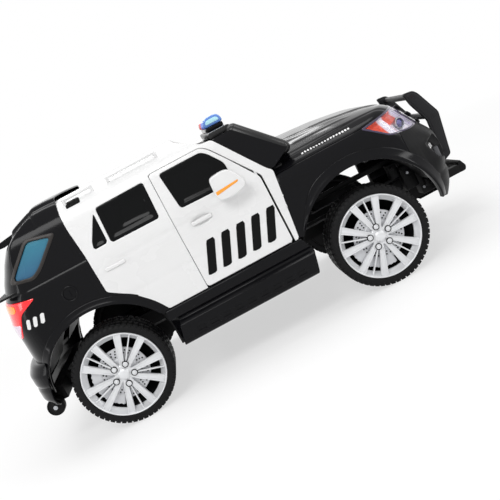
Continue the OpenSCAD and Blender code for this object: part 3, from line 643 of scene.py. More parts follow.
def bowl_colour_with_painted_reflections(tree):
    """Lamp bowl coloured to look like chrome: two red-orange lamps, painted white reflections between and below
    them, a painted white highlight just forward of the projector and a violet cast at the front.
    """
    parts = add(tree, "ShaderNodeSeparateXYZ", [("Vector", object_place(tree))]).outputs
    orange, white = linear(238, 74, 34), linear(240, 238, 244)

    def line(slope, sources):
        """Place along a slanted line: one coordinate times slope, plus the other."""
        return maths(tree, "MULTIPLY_ADD", parts[sources[0]], slope, parts[sources[1]])

    slant = line(0.46, "ZX")
    shift = -MID_X * MM

    def past(start, end):
        """0 behind a slanted line across the lamp, 1 in front of it."""
        return remap(tree, slant, shift + start, shift + end)

    # Painted reflection: a white band across the chrome between the two orange lamps.
    colour = tint(tree, past(0.669, 0.673), orange, white)
    colour = tint(tree, past(0.689, 0.693), colour, orange)
    low = remap(tree, line(0.12, "XZ"), 0.433 + 0.12 * shift, 0.427 + 0.12 * shift)
    low = maths(tree, "MULTIPLY", low, past(0.689, 0.693))
    # Painted reflection: white over the lower front of the chrome, below the second orange lamp.
    colour = tint(tree, low, colour, white)
    # Painted highlight: a white band just forward of the projector.
    colour = tint(tree, past(0.728, 0.734), colour, white)
    return tint(tree, past(0.742, 0.752), colour, linear(176, 160, 200))


# ---- Stage

LAMP_TARGET = Vector((0, 0, 0.3))
CAMERA_PLACE = (-0.0309, -2.0578, 0.5945)
CAMERA_AHEAD = Vector((0.02162, 0.98217, -0.18668))
CAMERA_ROLL = math.radians(-27.99)


def rays_that_see(tree):
    """1 for camera, glossy and transmission rays, which show the plain background; 0 for the rest."""
    path = add(tree, "ShaderNodeLightPath").outputs
    both = maths(tree, "ADD", path["Is Camera Ray"], path["Is Glossy Ray"])
    return maths(tree, "ADD", both, path["Is Transmission Ray"], clamp=True)


def make_stage(look):
    """The pale floor, the plain background, the soft lamps and the camera."""
    scene = bpy.context.scene
    scene.view_settings.view_transform = "Standard"
    world = bpy.data.worlds.new("Studio")
    scene.world = world
    tree = empty_tree(world)
    seen = rays_that_see(tree)
    room = add(tree, "ShaderNodeBackground", [("Color", WHITE), ("Strength", look.room_light)])
    plain = add(tree, "ShaderNodeBackground", [("Color", WHITE), ("Strength", 1.0)])
    mixed = add(tree, "ShaderNodeMixShader", [(0, seen), (1, room.outputs[0]), (2, plain.outputs[0])])
    add(tree, "ShaderNodeOutputWorld", [("Surface", mixed.outputs[0])])

    bm = bmesh.new()
    bmesh.ops.create_circle(bm, cap_ends=True, segments=96, radius=14)
    floor = to_object("floor", bm)
    made = bpy.data.materials.new("Pale floor")
    tree = empty_tree(made)
    place = object_place(tree)
    away = add(tree, "ShaderNodeVectorMath", [(0, place)], operation="LENGTH").outputs["Value"]
    fade = remap(tree, away, 0.9, 2.4)
    speck = remap(tree, noise(tree, place, 40.0, 3.0), 0.3, 0.7, 0.97, 1.0)
    tone = tint(tree, speck, linear(244, 244, 244), linear(249, 249, 249))
    matt = add(tree, "ShaderNodeBsdfDiffuse", [("Color", tone)])
    glow = add(tree, "ShaderNodeEmission", [("Color", WHITE), ("Strength", 1.0)])
    share = maths(tree, "MULTIPLY_ADD", fade, 0.4, 0.6, clamp=True)
    seen = maths(tree, "MULTIPLY", rays_that_see(tree), share)
    mixed = add(tree, "ShaderNodeMixShader", [(0, seen), (1, matt.outputs[0]), (2, glow.outputs[0])])
    below = add(tree, "ShaderNodeNewGeometry").outputs["Backfacing"]
    nothing = add(tree, "ShaderNodeBsdfTransparent")
    mixed = add(tree, "ShaderNodeMixShader", [(0, below), (1, mixed.outputs[0]), (2, nothing.outputs[0])])
    add(tree, "ShaderNodeOutputMaterial", [("Surface", mixed.outputs[0])])
    floor.data.materials.append(made)

    lamps = (("Key softbox", (-0.9, -2.6, 2.6), (1.9, 0.9), look.key_light),
             ("Top softbox", (0.1, 0.2, 2.8), (3.2, 0.8), look.top_light),
             ("Nose strip", (2.6, -1.3, 1.3), (0.4, 1.8), look.nose_light),
             ("Far softbox", (-0.4, 2.8, 2.0), (3.0, 0.5), look.far_light),
             ("Tail strip", (-2.8, -0.8, 1.3), (0.4, 1.8), look.nose_light * 0.6))
    for name, place, size, power in lamps:
        light = bpy.data.lights.new(name, "AREA")
        light.shape = "RECTANGLE"
        light.size, light.size_y = size
        light.energy = power
        lamp = bpy.data.objects.new(name, light)
        lamp.location = place
        lamp.rotation_euler = (LAMP_TARGET - Vector(place)).to_track_quat("-Z", "Y").to_euler()
        scene.collection.objects.link(lamp)

    camera = bpy.data.cameras.new("Camera")
    camera.lens = 51.33
    camera.sensor_width = 36
    camera.clip_end = 60
    view = bpy.data.objects.new("Camera", camera)
    scene.collection.objects.link(view)
    ahead = CAMERA_AHEAD.normalized()
    level = ahead.cross(Vector((0, 0, 1))).normalized()
    up = level.cross(ahead)
    right = level * math.cos(CAMERA_ROLL) + up * math.sin(CAMERA_ROLL)
    top = up * math.cos(CAMERA_ROLL) - level * math.sin(CAMERA_ROLL)
    turn = Matrix((right, top, -ahead)).transposed().to_4x4()
    view.matrix_world = Matrix.Translation(CAMERA_PLACE) @ turn
    scene.camera = view


# ---- Sides: white panels, doors and windows

WHITE_OUTLINE = rounded([
    (FRONT_X - 188, SILL_Z + 0.6), (FRONT_X - 168, BELT_Z - 12), (FRONT_X - 180, BELT_Z - 2),
    (FRONT_X - 214, BELT_Z + 45), (FRONT_X - 269, WINDOW_Z + 12), (FRONT_X - 296, WINDOW_Z + 14),
    (FRONT_X - 348, ROOF_Z - 14), (FRONT_X - 388, ROOF_Z + 30), (REAR_X + 56, ROOF_Z + 30),
    (REAR_X + 56, WINDOW_Z - 15), (REAR_X + 66, BELT_Z + 12), (REAR_X + 68, 339), (REAR_X + 94, 321),
    (REAR_X + 134, 292), (REAR_X + 162, 261), (REAR_X + 182, SILL_Z + 0.6)], 7)
DOOR_OUTLINE = [(-76, SILL_Z + 3), (165.8, SILL_Z + 3), (165.8, BELT_Z - 12), (FRONT_X - 257, WINDOW_Z - 46),
                (FRONT_X - 283, WINDOW_Z - 11), (FRONT_X - 295, WINDOW_Z + 1.5), (FRONT_X - 307,
                                                                                  WINDOW_Z + 7.5),
                (-76, WINDOW_Z + 7.5)]
DOOR_HOLE = [(-77.6, SILL_Z - 30), (171, SILL_Z - 30), (171, BELT_Z - 10), (FRONT_X - 254.8, WINDOW_Z - 44.8),
             (FRONT_X - 281, WINDOW_Z - 9), (FRONT_X - 293.6, WINDOW_Z + 3), (FRONT_X - 306.4, WINDOW_Z + 9),
             (-77.6, WINDOW_Z + 9)]
DOOR_WINDOW = [(-43, BELT_Z + 9), (-53, WINDOW_Z - 2), (FRONT_X - 311, WINDOW_Z - 2),
               (FRONT_X - 302, WINDOW_Z - 6), (FRONT_X - 291, WINDOW_Z - 16), (FRONT_X - 266, WINDOW_Z - 51),
               (FRONT_X - 266, BELT_Z + 42), (FRONT_X - 263, BELT_Z + 6)]
REAR_WINDOW = [(REAR_X + 138, BELT_Z + 15), (REAR_X + 141, WINDOW_Z - 2), (-96, WINDOW_Z), (-99, BELT_Z + 14)]
REAR_QUARTER = [(REAR_X + 92, BELT_Z + 19), (REAR_X + 96, BELT_Z + 38), (REAR_X + 132, WINDOW_Z - 9),
                (REAR_X + 131, BELT_Z + 20)]


REAR_WINDOW_DISH = rounded([(REAR_X + 176, BELT_Z + 38), (REAR_X + 196, WINDOW_Z - 22),
                            (-108, WINDOW_Z - 18), (-112, BELT_Z + 34)], 9)
PANEL_WALL = 18
DOOR_HANDLE = (-11, 387)
REAR_HANDLE = (-251, 388)


def grown(outline, gap):
    """The outline with every edge moved out by gap, or in where gap is below 0."""
    count = len(outline)
    area = sum(a[0] * b[1] - b[0] * a[1] for a, b in zip(outline, outline[1:] + outline[:1]))
    sign = 1 if area > 0 else -1
    made = []
    for i in range(count):
        before, here, after = (Vector(outline[k % count]) for k in (i - 1, i, i + 1))
        u, v = (here - before).normalized(), (after - here).normalized()
        a, b = Vector((u.y, -u.x)) * sign, Vector((v.y, -v.x)) * sign
        made.append(tuple(here + (a + b) * gap / (1 + a.dot(b))))
    return made


def side_sheet(cell=4.2):
    """The cabin's outer skin on the left side, from the sill over the roof's edge."""
    return form_sheet(cabin_form, (REAR_X + 50, 195, SILL_Z - 2), (FRONT_X - 100, HALF_W + 12, ROOF_Z + 14),
                      (-900, 200, 0), (900, 236, WINDOW_Z - 10), (cell, cell, cell), ("+y", "+z"))


def side_relief(p):
    """Shallow shapes pressed into the white sides: a waist crease, and a flared lower edge."""
    z = p[:, 2]
    waist = -1.6 * np.exp(-((z - 398) / 5.0) ** 2)
    lower = 1.8 * ease((300 - z) / 60) - 1.2 * np.exp(-((z - 306) / 6.0) ** 2)
    return (waist + lower) * ease((p[:, 0] - REAR_X - 70) / 24)


def ledge(outline, depth, border):
    """Shift for move(): a pane sunk below its border all round."""
    return lambda p: -depth * ease((-outside(p[:, SIDE_VIEW], outline) - border) / 6.0) - 1.5


def build_side_panels():
    base = side_sheet()
    inner_limit = axis_limit(1, HALF_W - 102, -1)
    for side, word in SIDES:
        bm = base.copy()
        trim(bm, keep_in(WHITE_OUTLINE))
        trim(bm, inner_limit)
        for hole in (rounded(DOOR_HOLE, 6), rounded(REAR_WINDOW, 8), rounded(REAR_QUARTER, 7)):
            trim(bm, keep_out(hole))
        trim(bm, off_arch(REAR_X, ARCH_REAR + 21.6))
        move(bm, side_relief)
        piece("side_skin_" + word, bm, "body", "white", ["side_panel_" + word],
              wall=PANEL_WALL, bevel=1.2, side=side)
    for side, word in SIDES:
        for label, outline, radius, border in (("rear", REAR_WINDOW, 8, 9.0),
                                               ("quarter", REAR_QUARTER, 7, 5.0)):
            bm = base.copy()
            fitted = rounded(grown(outline, -0.5), radius)
            trim(bm, keep_in(fitted))
            move(bm, ledge(fitted, 2.2, border))
            if label == "rear":
                move(bm, lambda p: -1.6 * ease(-outside(p[:, SIDE_VIEW], REAR_WINDOW_DISH) / 4.0))
            piece("%s_side_pane_%s" % (label, word), bm, "body", "pane",
                  ["rear_side_windows"], wall=4, bevel=0.6, side=side)


def handle_dish(p, x, z):
    """How far the door skin sinks behind a handle."""
    d = np.hypot((p[:, 0] - x) / 30, (p[:, 2] - z) / 13)
    return -6.0 * ease((1.0 - d) / 0.35)


def pull_handle(bm, x, z, y):
    """A bow handle with a small key barrel beside it."""
    made = block(bm, (x - 27, y - 1, z - 5), (x + 27, y + 5, z + 5))
    ends = [e for e in bm.edges if e.verts[0] in made and e.verts[1] in made]
    bmesh.ops.bevel(bm, geom=ends, offset=3.2, segments=4, affect="EDGES", profile=0.5, material=-1)
    rod(bm, (x + 34, y - 4, z), (x + 34, y + 1.5, z), 4.5, 20)


def build_doors():
    base = side_sheet()
    for side, word in SIDES:
        body = "door_" + word
        bm = base.copy()
        trim(bm, keep_in(rounded(DOOR_OUTLINE, 8)))
        trim(bm, keep_out(rounded(DOOR_WINDOW, 9)))
        move(bm, side_relief)
        move(bm, lambda p: handle_dish(p, *DOOR_HANDLE))
        piece("door_skin_" + word, bm, body, "white", ["door_" + word], wall=PANEL_WALL,
              bevel=1.2, side=side)
        bm = base.copy()
        fitted = rounded(grown(DOOR_WINDOW, -0.5), 9)
        trim(bm, keep_in(fitted))
        move(bm, ledge(fitted, 2.4, 9.0))
        piece("door_pane_" + word, bm, body, "pane", ["door_window_" + word], wall=4, bevel=0.6,
              side=side)
        bm = bmesh.new()
        pull_handle(bm, *DOOR_HANDLE, HALF_W)
        for z in (SILL_Z + 4, BELT_Z + 1):
            rod(bm, (160, HALF_W - 7, z - 9), (160, HALF_W - 7, z + 9), 3, 20)
        piece("door_handle_" + word, bm, body, "white", side=side)
    for side, word in SIDES:
        bm = bmesh.new()
        pull_handle(bm, *REAR_HANDLE, HALF_W)
        piece("rear_handle_" + word, bm, "body", "white", side=side)


def merge(bm, other):
    """Adds another mesh's shapes to this one."""
    mesh = bpy.data.meshes.new("part")
    other.to_mesh(mesh)
    bm.from_mesh(mesh)
    bpy.data.meshes.remove(mesh)
    other.free()


def slanted(low, high, starts, width, lean):
    """Outlines of bars between two heights that lean forward, one at each start."""
    return [[(x, low), (x + width, low), (x + width + lean, high), (x + lean, high)] for x in starts]


def film_marks(name, base, outlines, relief, finish, wall=0.5, columns=SIDE_VIEW, on_door=False):
    """Thin film marks on both sides of the body, cut from a sheet of its skin."""
    for side, word in SIDES:
        bm = bmesh.new()
        for outline in outlines:
            one = base.copy()
            trim(one, keep_in(outline, columns))
            merge(bm, one)
        move(bm, relief)
        body = "door_" + word if on_door else "body"
        piece(name + word, bm, body, finish, wall=wall, side=side)


def build_marks():
    """Plain slanted blocks where such toys carry their lettering."""
    bars = [rounded(bar, 3) for bar in slanted(254, 336, range(-62, 148, 42), 24, 36)]
    film_marks("door_mark_", side_sheet(6), bars, lambda p: side_relief(p) + 0.4,
               "mark_black", wall=0.6, on_door=True)


# ---- Nose: hood, fenders, lamps, bumper and grille

LAMP_SIDE = rounded([(NOSE_START + 22, 396), (NOSE_START + 120, 406), (NOSE_X + 60, 403), (NOSE_X + 60, 336),
                     (NOSE_START + 146, 336), (NOSE_START + 84, 348)], 9)
BUMPER_X0 = NOSE_START + 110
BUMPER_TOP = 348
PROJECTOR = (NOSE_X - 105, 361)
GRILLE_HALF = 149.4
HANDLE_SLOT = 92


def nose_sheet(cell=5.0, tall=None):
    """One half of the nose's outer skin, over the front wheel and round the front."""
    return form_sheet(nose_form, (FRONT_X - 200, 0, 96), (NOSE_X + 14, HALF_W + 12, 470),
                      (-900, 0, 20), (NOSE_START + 40, HALF_W - 70, 300), (cell, cell, tall or cell),
                      ("+x", "+y", "+z"))


def skin_y(form, x, z):
    """Half width of a form at places seen from the side."""
    x, z = np.atleast_1d(np.asarray(x, float)), np.atleast_1d(np.asarray(z, float))
    near, far = np.full(len(x), 100.0), np.full(len(x), HALF_W + 30.0)
    for _ in range(22):
        y = (near + far) / 2
        inside = form(np.column_stack([x, y, z])) < 0
        near, far = np.where(inside, y, near), np.where(inside, far, y)
    return near


LIP_SECTION = [(1.0, -4), (1.0, 0.6), (0.96, 1.6), (0.88, 2.0), (0.6, 3.6), (0.34, 6.4), (0.16, 8.2),
               (0.05, 8.2), (-0.02, 7.0), (-0.05, 4.0), (-0.05, -14), (0.3, -14), (1.0, -4)]


def arch_lip(form, x0, radius, width, first, last, rise):
    """The rolled edge of a wheel arch, swept round it on the body's skin. width depends on the angle."""
    bm = bmesh.new()
    turns, rings = 96, len(LIP_SECTION) - 1
    bmesh.ops.create_grid(bm, x_segments=turns, y_segments=rings, size=1)
    grid = places(bm)
    angle = first + (last - first) * (grid[:, 0] + 1) / 2
    step = np.rint((grid[:, 1] + 1) / 2 * rings).astype(int)
    share, lift = np.array(LIP_SECTION)[step].T
    r = radius + share * width(angle)
    x, z = x0 + r * np.cos(np.radians(angle)), AXLE_Z + r * np.sin(np.radians(angle))
    y = skin_y(form, x, z) + np.where(lift > 0, lift * rise / 8, lift)
    set_places(bm, np.column_stack([x, y, z]))
    bmesh.ops.remove_doubles(bm, verts=bm.verts, dist=0.01)
    bmesh.ops.holes_fill(bm, edges=[e for e in bm.edges if e.is_boundary])
    bmesh.ops.recalc_face_normals(bm, faces=bm.faces)
    return bm


def build_arch_lips(look):
    ends = (("front", nose_form, FRONT_X, ARCH_FRONT, lambda a: 28 - 22 * ease((a - 112) / 34), 2, 147, 9),
            ("rear", tall_tail, REAR_X, ARCH_REAR, lambda a: 20.6 - 8 * ease((a - 150) / 22), 31.6, 170, 7))
    for end, form, x0, radius, width, first, last, rise in ends:
        for side, word in SIDES:
            bm = arch_lip(form, x0, radius, width, first, last, rise * look.flare)
            piece("arch_lip_%s_%s" % (end, word), bm, "body", "black", smooth=50, side=side)


def tall_tail(p):
    """The tail's form carried down past the sill, for the arch's lower end."""
    return tail_form(np.column_stack([p[:, 0], p[:, 1], np.maximum(p[:, 2], SILL_Z)]))


def hood_relief(p):
    """Power bulge between two long creases, and a shallow rib along each shoulder."""
    x, y = p[:, 0], np.abs(p[:, 1])
    along = ease((x - FRONT_X + 150) / 30) * ease((NOSE_X - 60 - x) / 60)
    bulge = 3.2 * ease((118 - y - 0.08 * (x - FRONT_X)) / 9.0)
    rib = 2.2 * np.exp(-((y - 205) / 6.0) ** 2)
    rib = rib * ease((x - FRONT_X + 90) / 20) * ease((FRONT_X + 95 - x) / 40)
    crease = -1.6 * np.exp(-((y - 262 + 0.03 * (x - FRONT_X)) / 4.0) ** 2)
    return along * (bulge + rib + crease)


def lamp_front(p):
    """Distance outside the headlight's outline; the lamp stops short of the nose's middle."""
    d = outside(p[:, SIDE_VIEW], LAMP_SIDE)
    return np.maximum(d, 152 - np.abs(p[:, 1]) + 0.25 * (p[:, 2] - 370))


HOOD_SIDE = [(FRONT_X - 168.2, SEAM_Z + 0.6), (FRONT_X - 166.4, SEAM_Z + 16), (FRONT_X - 104, BELT_Z + 21),
             (FRONT_X - 102, 620), (NOSE_X + 60, 620), (NOSE_X + 60, SEAM_Z + 0.6)]
FENDER_SIDE = [(FRONT_X - 186.6, SILL_Z + 0.6), (FRONT_X - 168.4, SEAM_Z - 0.6),
               (BUMPER_X0 - 0.8, SEAM_Z - 0.6), (BUMPER_X0 - 0.8, 90), (FRONT_X, 90),
               (FRONT_X, SILL_Z + 0.6)]
CORNER_VENT = rounded([(186, 213), (262, 232), (276, 286), (232, 293), (190, 249)], 9)


def build_nose():
    base = nose_sheet()
    off_wheel = off_arch(FRONT_X, ARCH_FRONT)

    bm = base.copy()
    trim(bm, keep_in(HOOD_SIDE))
    trim(bm, beyond(lamp_front))
    move(bm, hood_relief)
    doubled(bm)
    piece("hood_skin", bm, "body", "black", ["hood"], wall=4, bevel=1.2)

    for side, word in SIDES:
        bm = base.copy()
        trim(bm, keep_in(FENDER_SIDE))
        trim(bm, off_wheel)
        trim(bm, beyond(lamp_front))
        piece("fender_skin_" + word, bm, "body", "black", ["fender_" + word],
              wall=4, bevel=1.2, side=side)

    bm = base.copy()
    trim(bm, keep_in([(BUMPER_X0, 142), (BUMPER_X0 + 42, 138), (NOSE_X - 20, 110), (NOSE_X + 60, 108),
                      (NOSE_X + 60, BUMPER_TOP), (BUMPER_X0, BUMPER_TOP)]))
    trim(bm, off_wheel)
    trim(bm, beyond(lamp_front))
    for half, low, high in ((GRILLE_HALF, 200, 420), (HANDLE_SLOT, 124, 170)):
        trim(bm, keep_out(rounded([(-half, low), (half, low), (half, high), (-half, high)], 8), END_VIEW))
    move(bm, bumper_relief)
    doubled(bm)
    piece("front_bumper_skin", bm, "body", "dark", ["front_bumper"], wall=4, bevel=1.2)

    for side, word in SIDES:
        bm = bmesh.new()
        block(bm, (612, 212, 221), (626, 224, 256))
        soften(bm, 3, 3)
        piece("fog_part_" + word, bm, "body", "fog", side=side)

    bm = nose_sheet(6.0, 2.6)
    trim(bm, keep_in([(-GRILLE_HALF + 0.6, 200.6), (GRILLE_HALF - 0.6, 200.6), (GRILLE_HALF - 0.6, 396.2),
                      (-GRILLE_HALF + 0.6, 396.2)], END_VIEW))
    trim(bm, axis_limit(0, NOSE_START + 90, -1))
    move(bm, lambda p: -13 + 11 * ease(2.2 * np.abs(np.sin((p[:, 2] - 200) * math.pi / 28)) - 0.9)
         + 12 * ease((np.abs(p[:, 1]) - GRILLE_HALF + 14) / 3))
    doubled(bm)
    piece("grille_skin", bm, "body", "grey", ["grille"], wall=3, bevel=0.6)

    build_wheel_well("front", FRONT_X, ARCH_FRONT)


def bumper_relief(p):
    """Swollen corners with a sunk vent in each, and a chin along the lower edge."""
    ahead = ease((p[:, 0] - BUMPER_X0 - 34) / 40)
    corner = 15 * ease(1.3 - np.abs(p[:, 2] - 262) / 62) * ease((p[:, 1] - 130) / 40)
    vent = -20 * ease(-outside(p[:, END_VIEW], CORNER_VENT) / 7)
    chin = 5 * ease((196 - p[:, 2]) / 8)
    return ahead * (corner + vent + chin)


def build_wheel_well(end, x, radius):
    """The black liner behind an arch's edge."""
    bm = bmesh.new()
    low = 20 if end == "front" else 26
    for side in (-1, 1):
        outline = []
        for r, steps in ((radius + 3, range(0, 49)), (radius + 0.2, range(48, -1, -1))):
            for k in steps:
                angle = math.radians(low + (180 - 2 * low) * k / 48)
                outline.append((x + r * math.cos(angle), AXLE_Z + r * math.sin(angle)))
        inner = 150 if end == "front" else 62
        plate(bm, outline, side * inner, side * (HALF_W - 8))
    soften(bm, 0.5, 1, 60)
    piece("well_liner_" + end, bm, "body", "dark")


def build_headlights():
    base = nose_sheet(3.4)
    trim(base, lamp_front)
    lens = base.copy()
    doubled(lens)
    piece("headlight_lenses", lens, "body", "lens", ["headlights"], wall=2, bevel=0.6)

    bowl = base.copy()
    trim(bowl, lambda p: lamp_front(p) + 1.5)
    move(bowl, lambda p: -3.2 - 15 * ease(-lamp_front(p) / 9))
    doubled(bowl)
    piece("headlight_bowls", bowl, "body", "bowl", wall=1.5)

    rim = base.copy()
    trim(rim, beyond(lamp_front, 4.5))
    move(rim, even(0.7))
    doubled(rim)
    piece("headlight_rims", rim, "body", "purple", wall=2, bevel=0.5)

    rings, globes = bmesh.new(), bmesh.new()
    x, z = PROJECTOR
    y = float(skin_y(nose_form, x, z)[0]) - 11
    for side in (-1, 1):
        spot, aim = Vector((x, y * side, z)), Vector((0.4, 0.917 * side, 0))
        turned(rings, [(11, -6), (14.5, -6), (14.5, 4), (13, 5.2), (12, 4), (10.5, -2)], 40, spot, aim)
        bmesh.ops.create_uvsphere(globes, u_segments=32, v_segments=16, radius=10.8,
                                  matrix=Matrix.Translation(spot - aim * 4))
    piece("headlight_projector_rings", rings, "body", "steel")
    piece("headlight_projectors", globes, "body", "globe")


# ---- Tail: rear body, windows, lamps, spoiler and bumper

PILLAR_WINDOW = [(REAR_X - 46, WINDOW_Z + 3), (REAR_X + 13, WINDOW_Z - 12), (REAR_X - 47, BELT_Z + 44),
                 (REAR_X - 70, BELT_Z + 31), (REAR_X - 120, BELT_Z + 42)]
TAIL_LAMP = rounded([(REAR_X - 87, BELT_Z - 14), (REAR_X - 244, BELT_Z + 8), (REAR_X - 244, BELT_Z - 100),
                     (REAR_X - 180, BELT_Z - 100), (REAR_X - 146, BELT_Z - 40)], 10)
REAR_FRONT = [(REAR_X + 57.5, 640), (REAR_X + 57.5, WINDOW_Z - 15), (REAR_X + 67, BELT_Z + 12),
              (REAR_X + 69, 339), (REAR_X + 95, 322), (REAR_X + 136, 294), (REAR_X + 164, 262),
              (REAR_X + 184, 215), (600, 215), (600, 640)]


def tail_sheet(cell=5.0):
    """One half of the tail's outer skin, over the rear wheel and round the back."""
    return form_sheet(tail_form, (TAIL_X - 12, 0, 222), (REAR_X + 212, HALF_W + 12, ROOF_Z + 22),
                      (TAIL_START + 20, 0, 60), (900, HALF_W - 80, WINDOW_Z - 40), (cell, cell, cell),
                      ("-x", "+y", "+z"))


def tail_lamp_edge(p):
    """Distance outside the tail lamp's outline; the lamp stops short of the tail's middle."""
    return np.maximum(outside(p[:, SIDE_VIEW], TAIL_LAMP), 190 - np.abs(p[:, 1]))


def back_window_edge(p):
    """Distance outside the rear window's outline, seen from behind."""
    d = outside(p[:, END_VIEW], rounded([(-150, BELT_Z + 20), (150, BELT_Z + 20), (138, WINDOW_Z - 5),
                                         (-138, WINDOW_Z - 5)], 14))
    return np.maximum(d, p[:, 0] - REAR_X + 120)


def tail_relief(p):
    """A raised middle to the roof's cap, a belt crease, a dish for the plate and a seam across the roof."""
    cap = 9 * ease((p[:, 0] + 470) / 30) * ease((244 - np.abs(p[:, 1])) / 12) * ease((p[:, 2] - 560) / 10)
    belt = -1.8 * np.exp(-((p[:, 2] - BELT_Z - 8) / 3.0) ** 2) * ease((np.abs(p[:, 1]) - 200) / 40)
    dish = outside(p[:, END_VIEW], rounded([(-112, 268), (112, 268), (122, 372), (-122, 372)], 12))
    plate_dish = -7 * ease(-dish / 6) * ease((REAR_X - 130 - p[:, 0]) / 10)
    seam = -2.0 * np.exp(-((p[:, 0] - REAR_X + 12) / 2.6) ** 2) * ease((p[:, 2] - WINDOW_Z - 20) / 10)
    return cap + belt + plate_dish + seam


def build_tail():
    base = tail_sheet()
    bm = base.copy()
    trim(bm, lambda p: np.minimum(-outside(p[:, SIDE_VIEW], REAR_FRONT),
                                  np.hypot(p[:, 0] - REAR_X, p[:, 2] - AXLE_Z) - ARCH_REAR - 20.6))
    trim(bm, off_arch(REAR_X, ARCH_REAR))
    trim(bm, beyond(tail_lamp_edge))
    trim(bm, keep_out(rounded(PILLAR_WINDOW, 11)))
    trim(bm, beyond(back_window_edge))
    move(bm, tail_relief)
    doubled(bm)
    piece("rear_body_skin", bm, "body", "black", ["rear_body"], wall=4, bevel=1.0)

    band_edge = rounded(grown(PILLAR_WINDOW, 8), 13)
    pane_edge = rounded(grown(PILLAR_WINDOW, -0.5), 11)
    for side, word in SIDES:
        band, pane = base.copy(), base.copy()
        trim(band, keep_in(band_edge))
        trim(band, keep_out(pane_edge))
        move(band, lambda p: 1.0 + 1.2 * ease(-outside(p[:, SIDE_VIEW], band_edge) / 3))
        trim(pane, keep_in(pane_edge))
        move(pane, even(-2.2))
        piece("pillar_frame_" + word, band, "body", "brown", wall=3, bevel=0.8, side=side)
        piece("pillar_pane_" + word, pane, "body", "blue_pane", ["pillar_windows"], wall=3,
              bevel=0.8, side=side)

    bm = base.copy()
    trim(bm, lambda p: back_window_edge(p) + 0.6)
    move(bm, lambda p: -3.0 * ease((-back_window_edge(p) - 8) / 3) - 1)
    doubled(bm)
    piece("back_window_pane", bm, "body", "pane", ["rear_window"], wall=4, bevel=0.6)
    build_wheel_well("rear", REAR_X, ARCH_REAR)


def build_tail_lamps():
    base = tail_sheet(3.6)
    trim(base, lambda p: tail_lamp_edge(p) + 0.5)
    oval = rounded([(REAR_X - 150, BELT_Z - 12), (REAR_X - 206, BELT_Z - 4), (REAR_X - 210, BELT_Z - 26),
                    (REAR_X - 156, BELT_Z - 32)], 12)
    strip = rounded([(REAR_X - 160, BELT_Z - 62), (REAR_X - 232, BELT_Z - 58), (REAR_X - 236, BELT_Z - 92),
                     (REAR_X - 182, BELT_Z - 94)], 6)
    for side, word in SIDES:
        for finish, slot, tests, rise, nodes in (
                ("red", "red_lens", (keep_out(oval), keep_out(strip)), 1.2, ["tail_lamps"]),
                ("orange", "red_lens", (keep_in(oval),), 2.2, ()),
                ("pale", "clear_lens", (keep_in(strip),), 2.2, ())):
            bm = base.copy()
            for test in tests:
                trim(bm, test)
            move(bm, lambda p: rise * ease(-tail_lamp_edge(p) / 5) + 0.5)
            piece("tail_lamp_%s_%s" % (finish, word), bm, "body", finish, nodes, wall=5, bevel=0.8,
                  side=side)


def rear_bumper_form(p):
    """The rear bumper: the tail plan pushed back by rear_bumper_back at each height."""
    x, y, z = p[:, 0], np.abs(p[:, 1]), p[:, 2]
    plan = outside(np.column_stack([x + TAIL_X - rear_bumper_back(z), y]), TAIL_PLAN)
    return both_limits(both_limits(plan, z - 252, 9), 124 - z, 8)


rear_bumper_back = curve([(110, -584), (124, -590), (138, -610), (156, -621), (225, -621), (252, -603),
                          (262, -600)], 6)


def build_rear_bumper():
    bm = form_sheet(rear_bumper_form, (TAIL_X - 46, 0, 112), (REAR_X - 150, HALF_W + 14, 262),
                    (TAIL_START, 0, 160), (900, HALF_W - 90, 220), (6, 6, 4), ("-x", "+y", "+z"))
    trim(bm, axis_limit(0, REAR_X - 158, 1))
    trim(bm, off_arch(REAR_X, ARCH_REAR + 2))
    move(bm, lambda p: -3.0 * np.exp(-((p[:, 2] - 190) / 5.0) ** 2))
    doubled(bm)
    piece("rear_bumper_skin", bm, "body", "black", ["rear_bumper"], wall=4, bevel=1.2)
    bm = bmesh.new()
    block(bm, (TAIL_X - 2, -70, 296), (TAIL_X + 10, 70, 344))
    soften(bm, 2.5, 2)
    piece("blank_plate", bm, "body", "white")


def build_roof_parts():
    bm = bmesh.new()
    for side in (-1, 1):
        for x0, x1 in ((-294, -212), (-174, -34)):
            rod(bm, (x0, side * 264, 585), (x1, side * 264, 585), 4, 20)
            for x in (x0 + 3, x1 - 3):
                rod(bm, (x, side * 262, 570), (x, side * 264, 587), 4.4, 20)
    soften(bm, 0.8, 2)
    piece("roof_rail_bars", bm, "body", "white", ["roof_rails"])
    bm = bmesh.new()
    plate(bm, rounded([(REAR_X - 62, 573.5), (REAR_X - 143, 562), (REAR_X - 148, 551), (REAR_X - 121, 548),
                       (REAR_X - 92, 559)], 5), -190, 190)
    soften(bm, 3, 3)
    piece("spoiler_wing", bm, "body", "black", ["spoiler"])


# ---- Cabin front: windshield, light bar, mirrors

POST = [(FRONT_X - 268, WINDOW_Z + 12), (FRONT_X - 214, WINDOW_Z + 12), (FRONT_X - 118, BELT_Z + 26),
        (FRONT_X - 108, BELT_Z + 20), (FRONT_X - 164, BELT_Z - 9), (FRONT_X - 179, BELT_Z - 1),
        (FRONT_X - 213, BELT_Z + 46)]
POST_R = 18


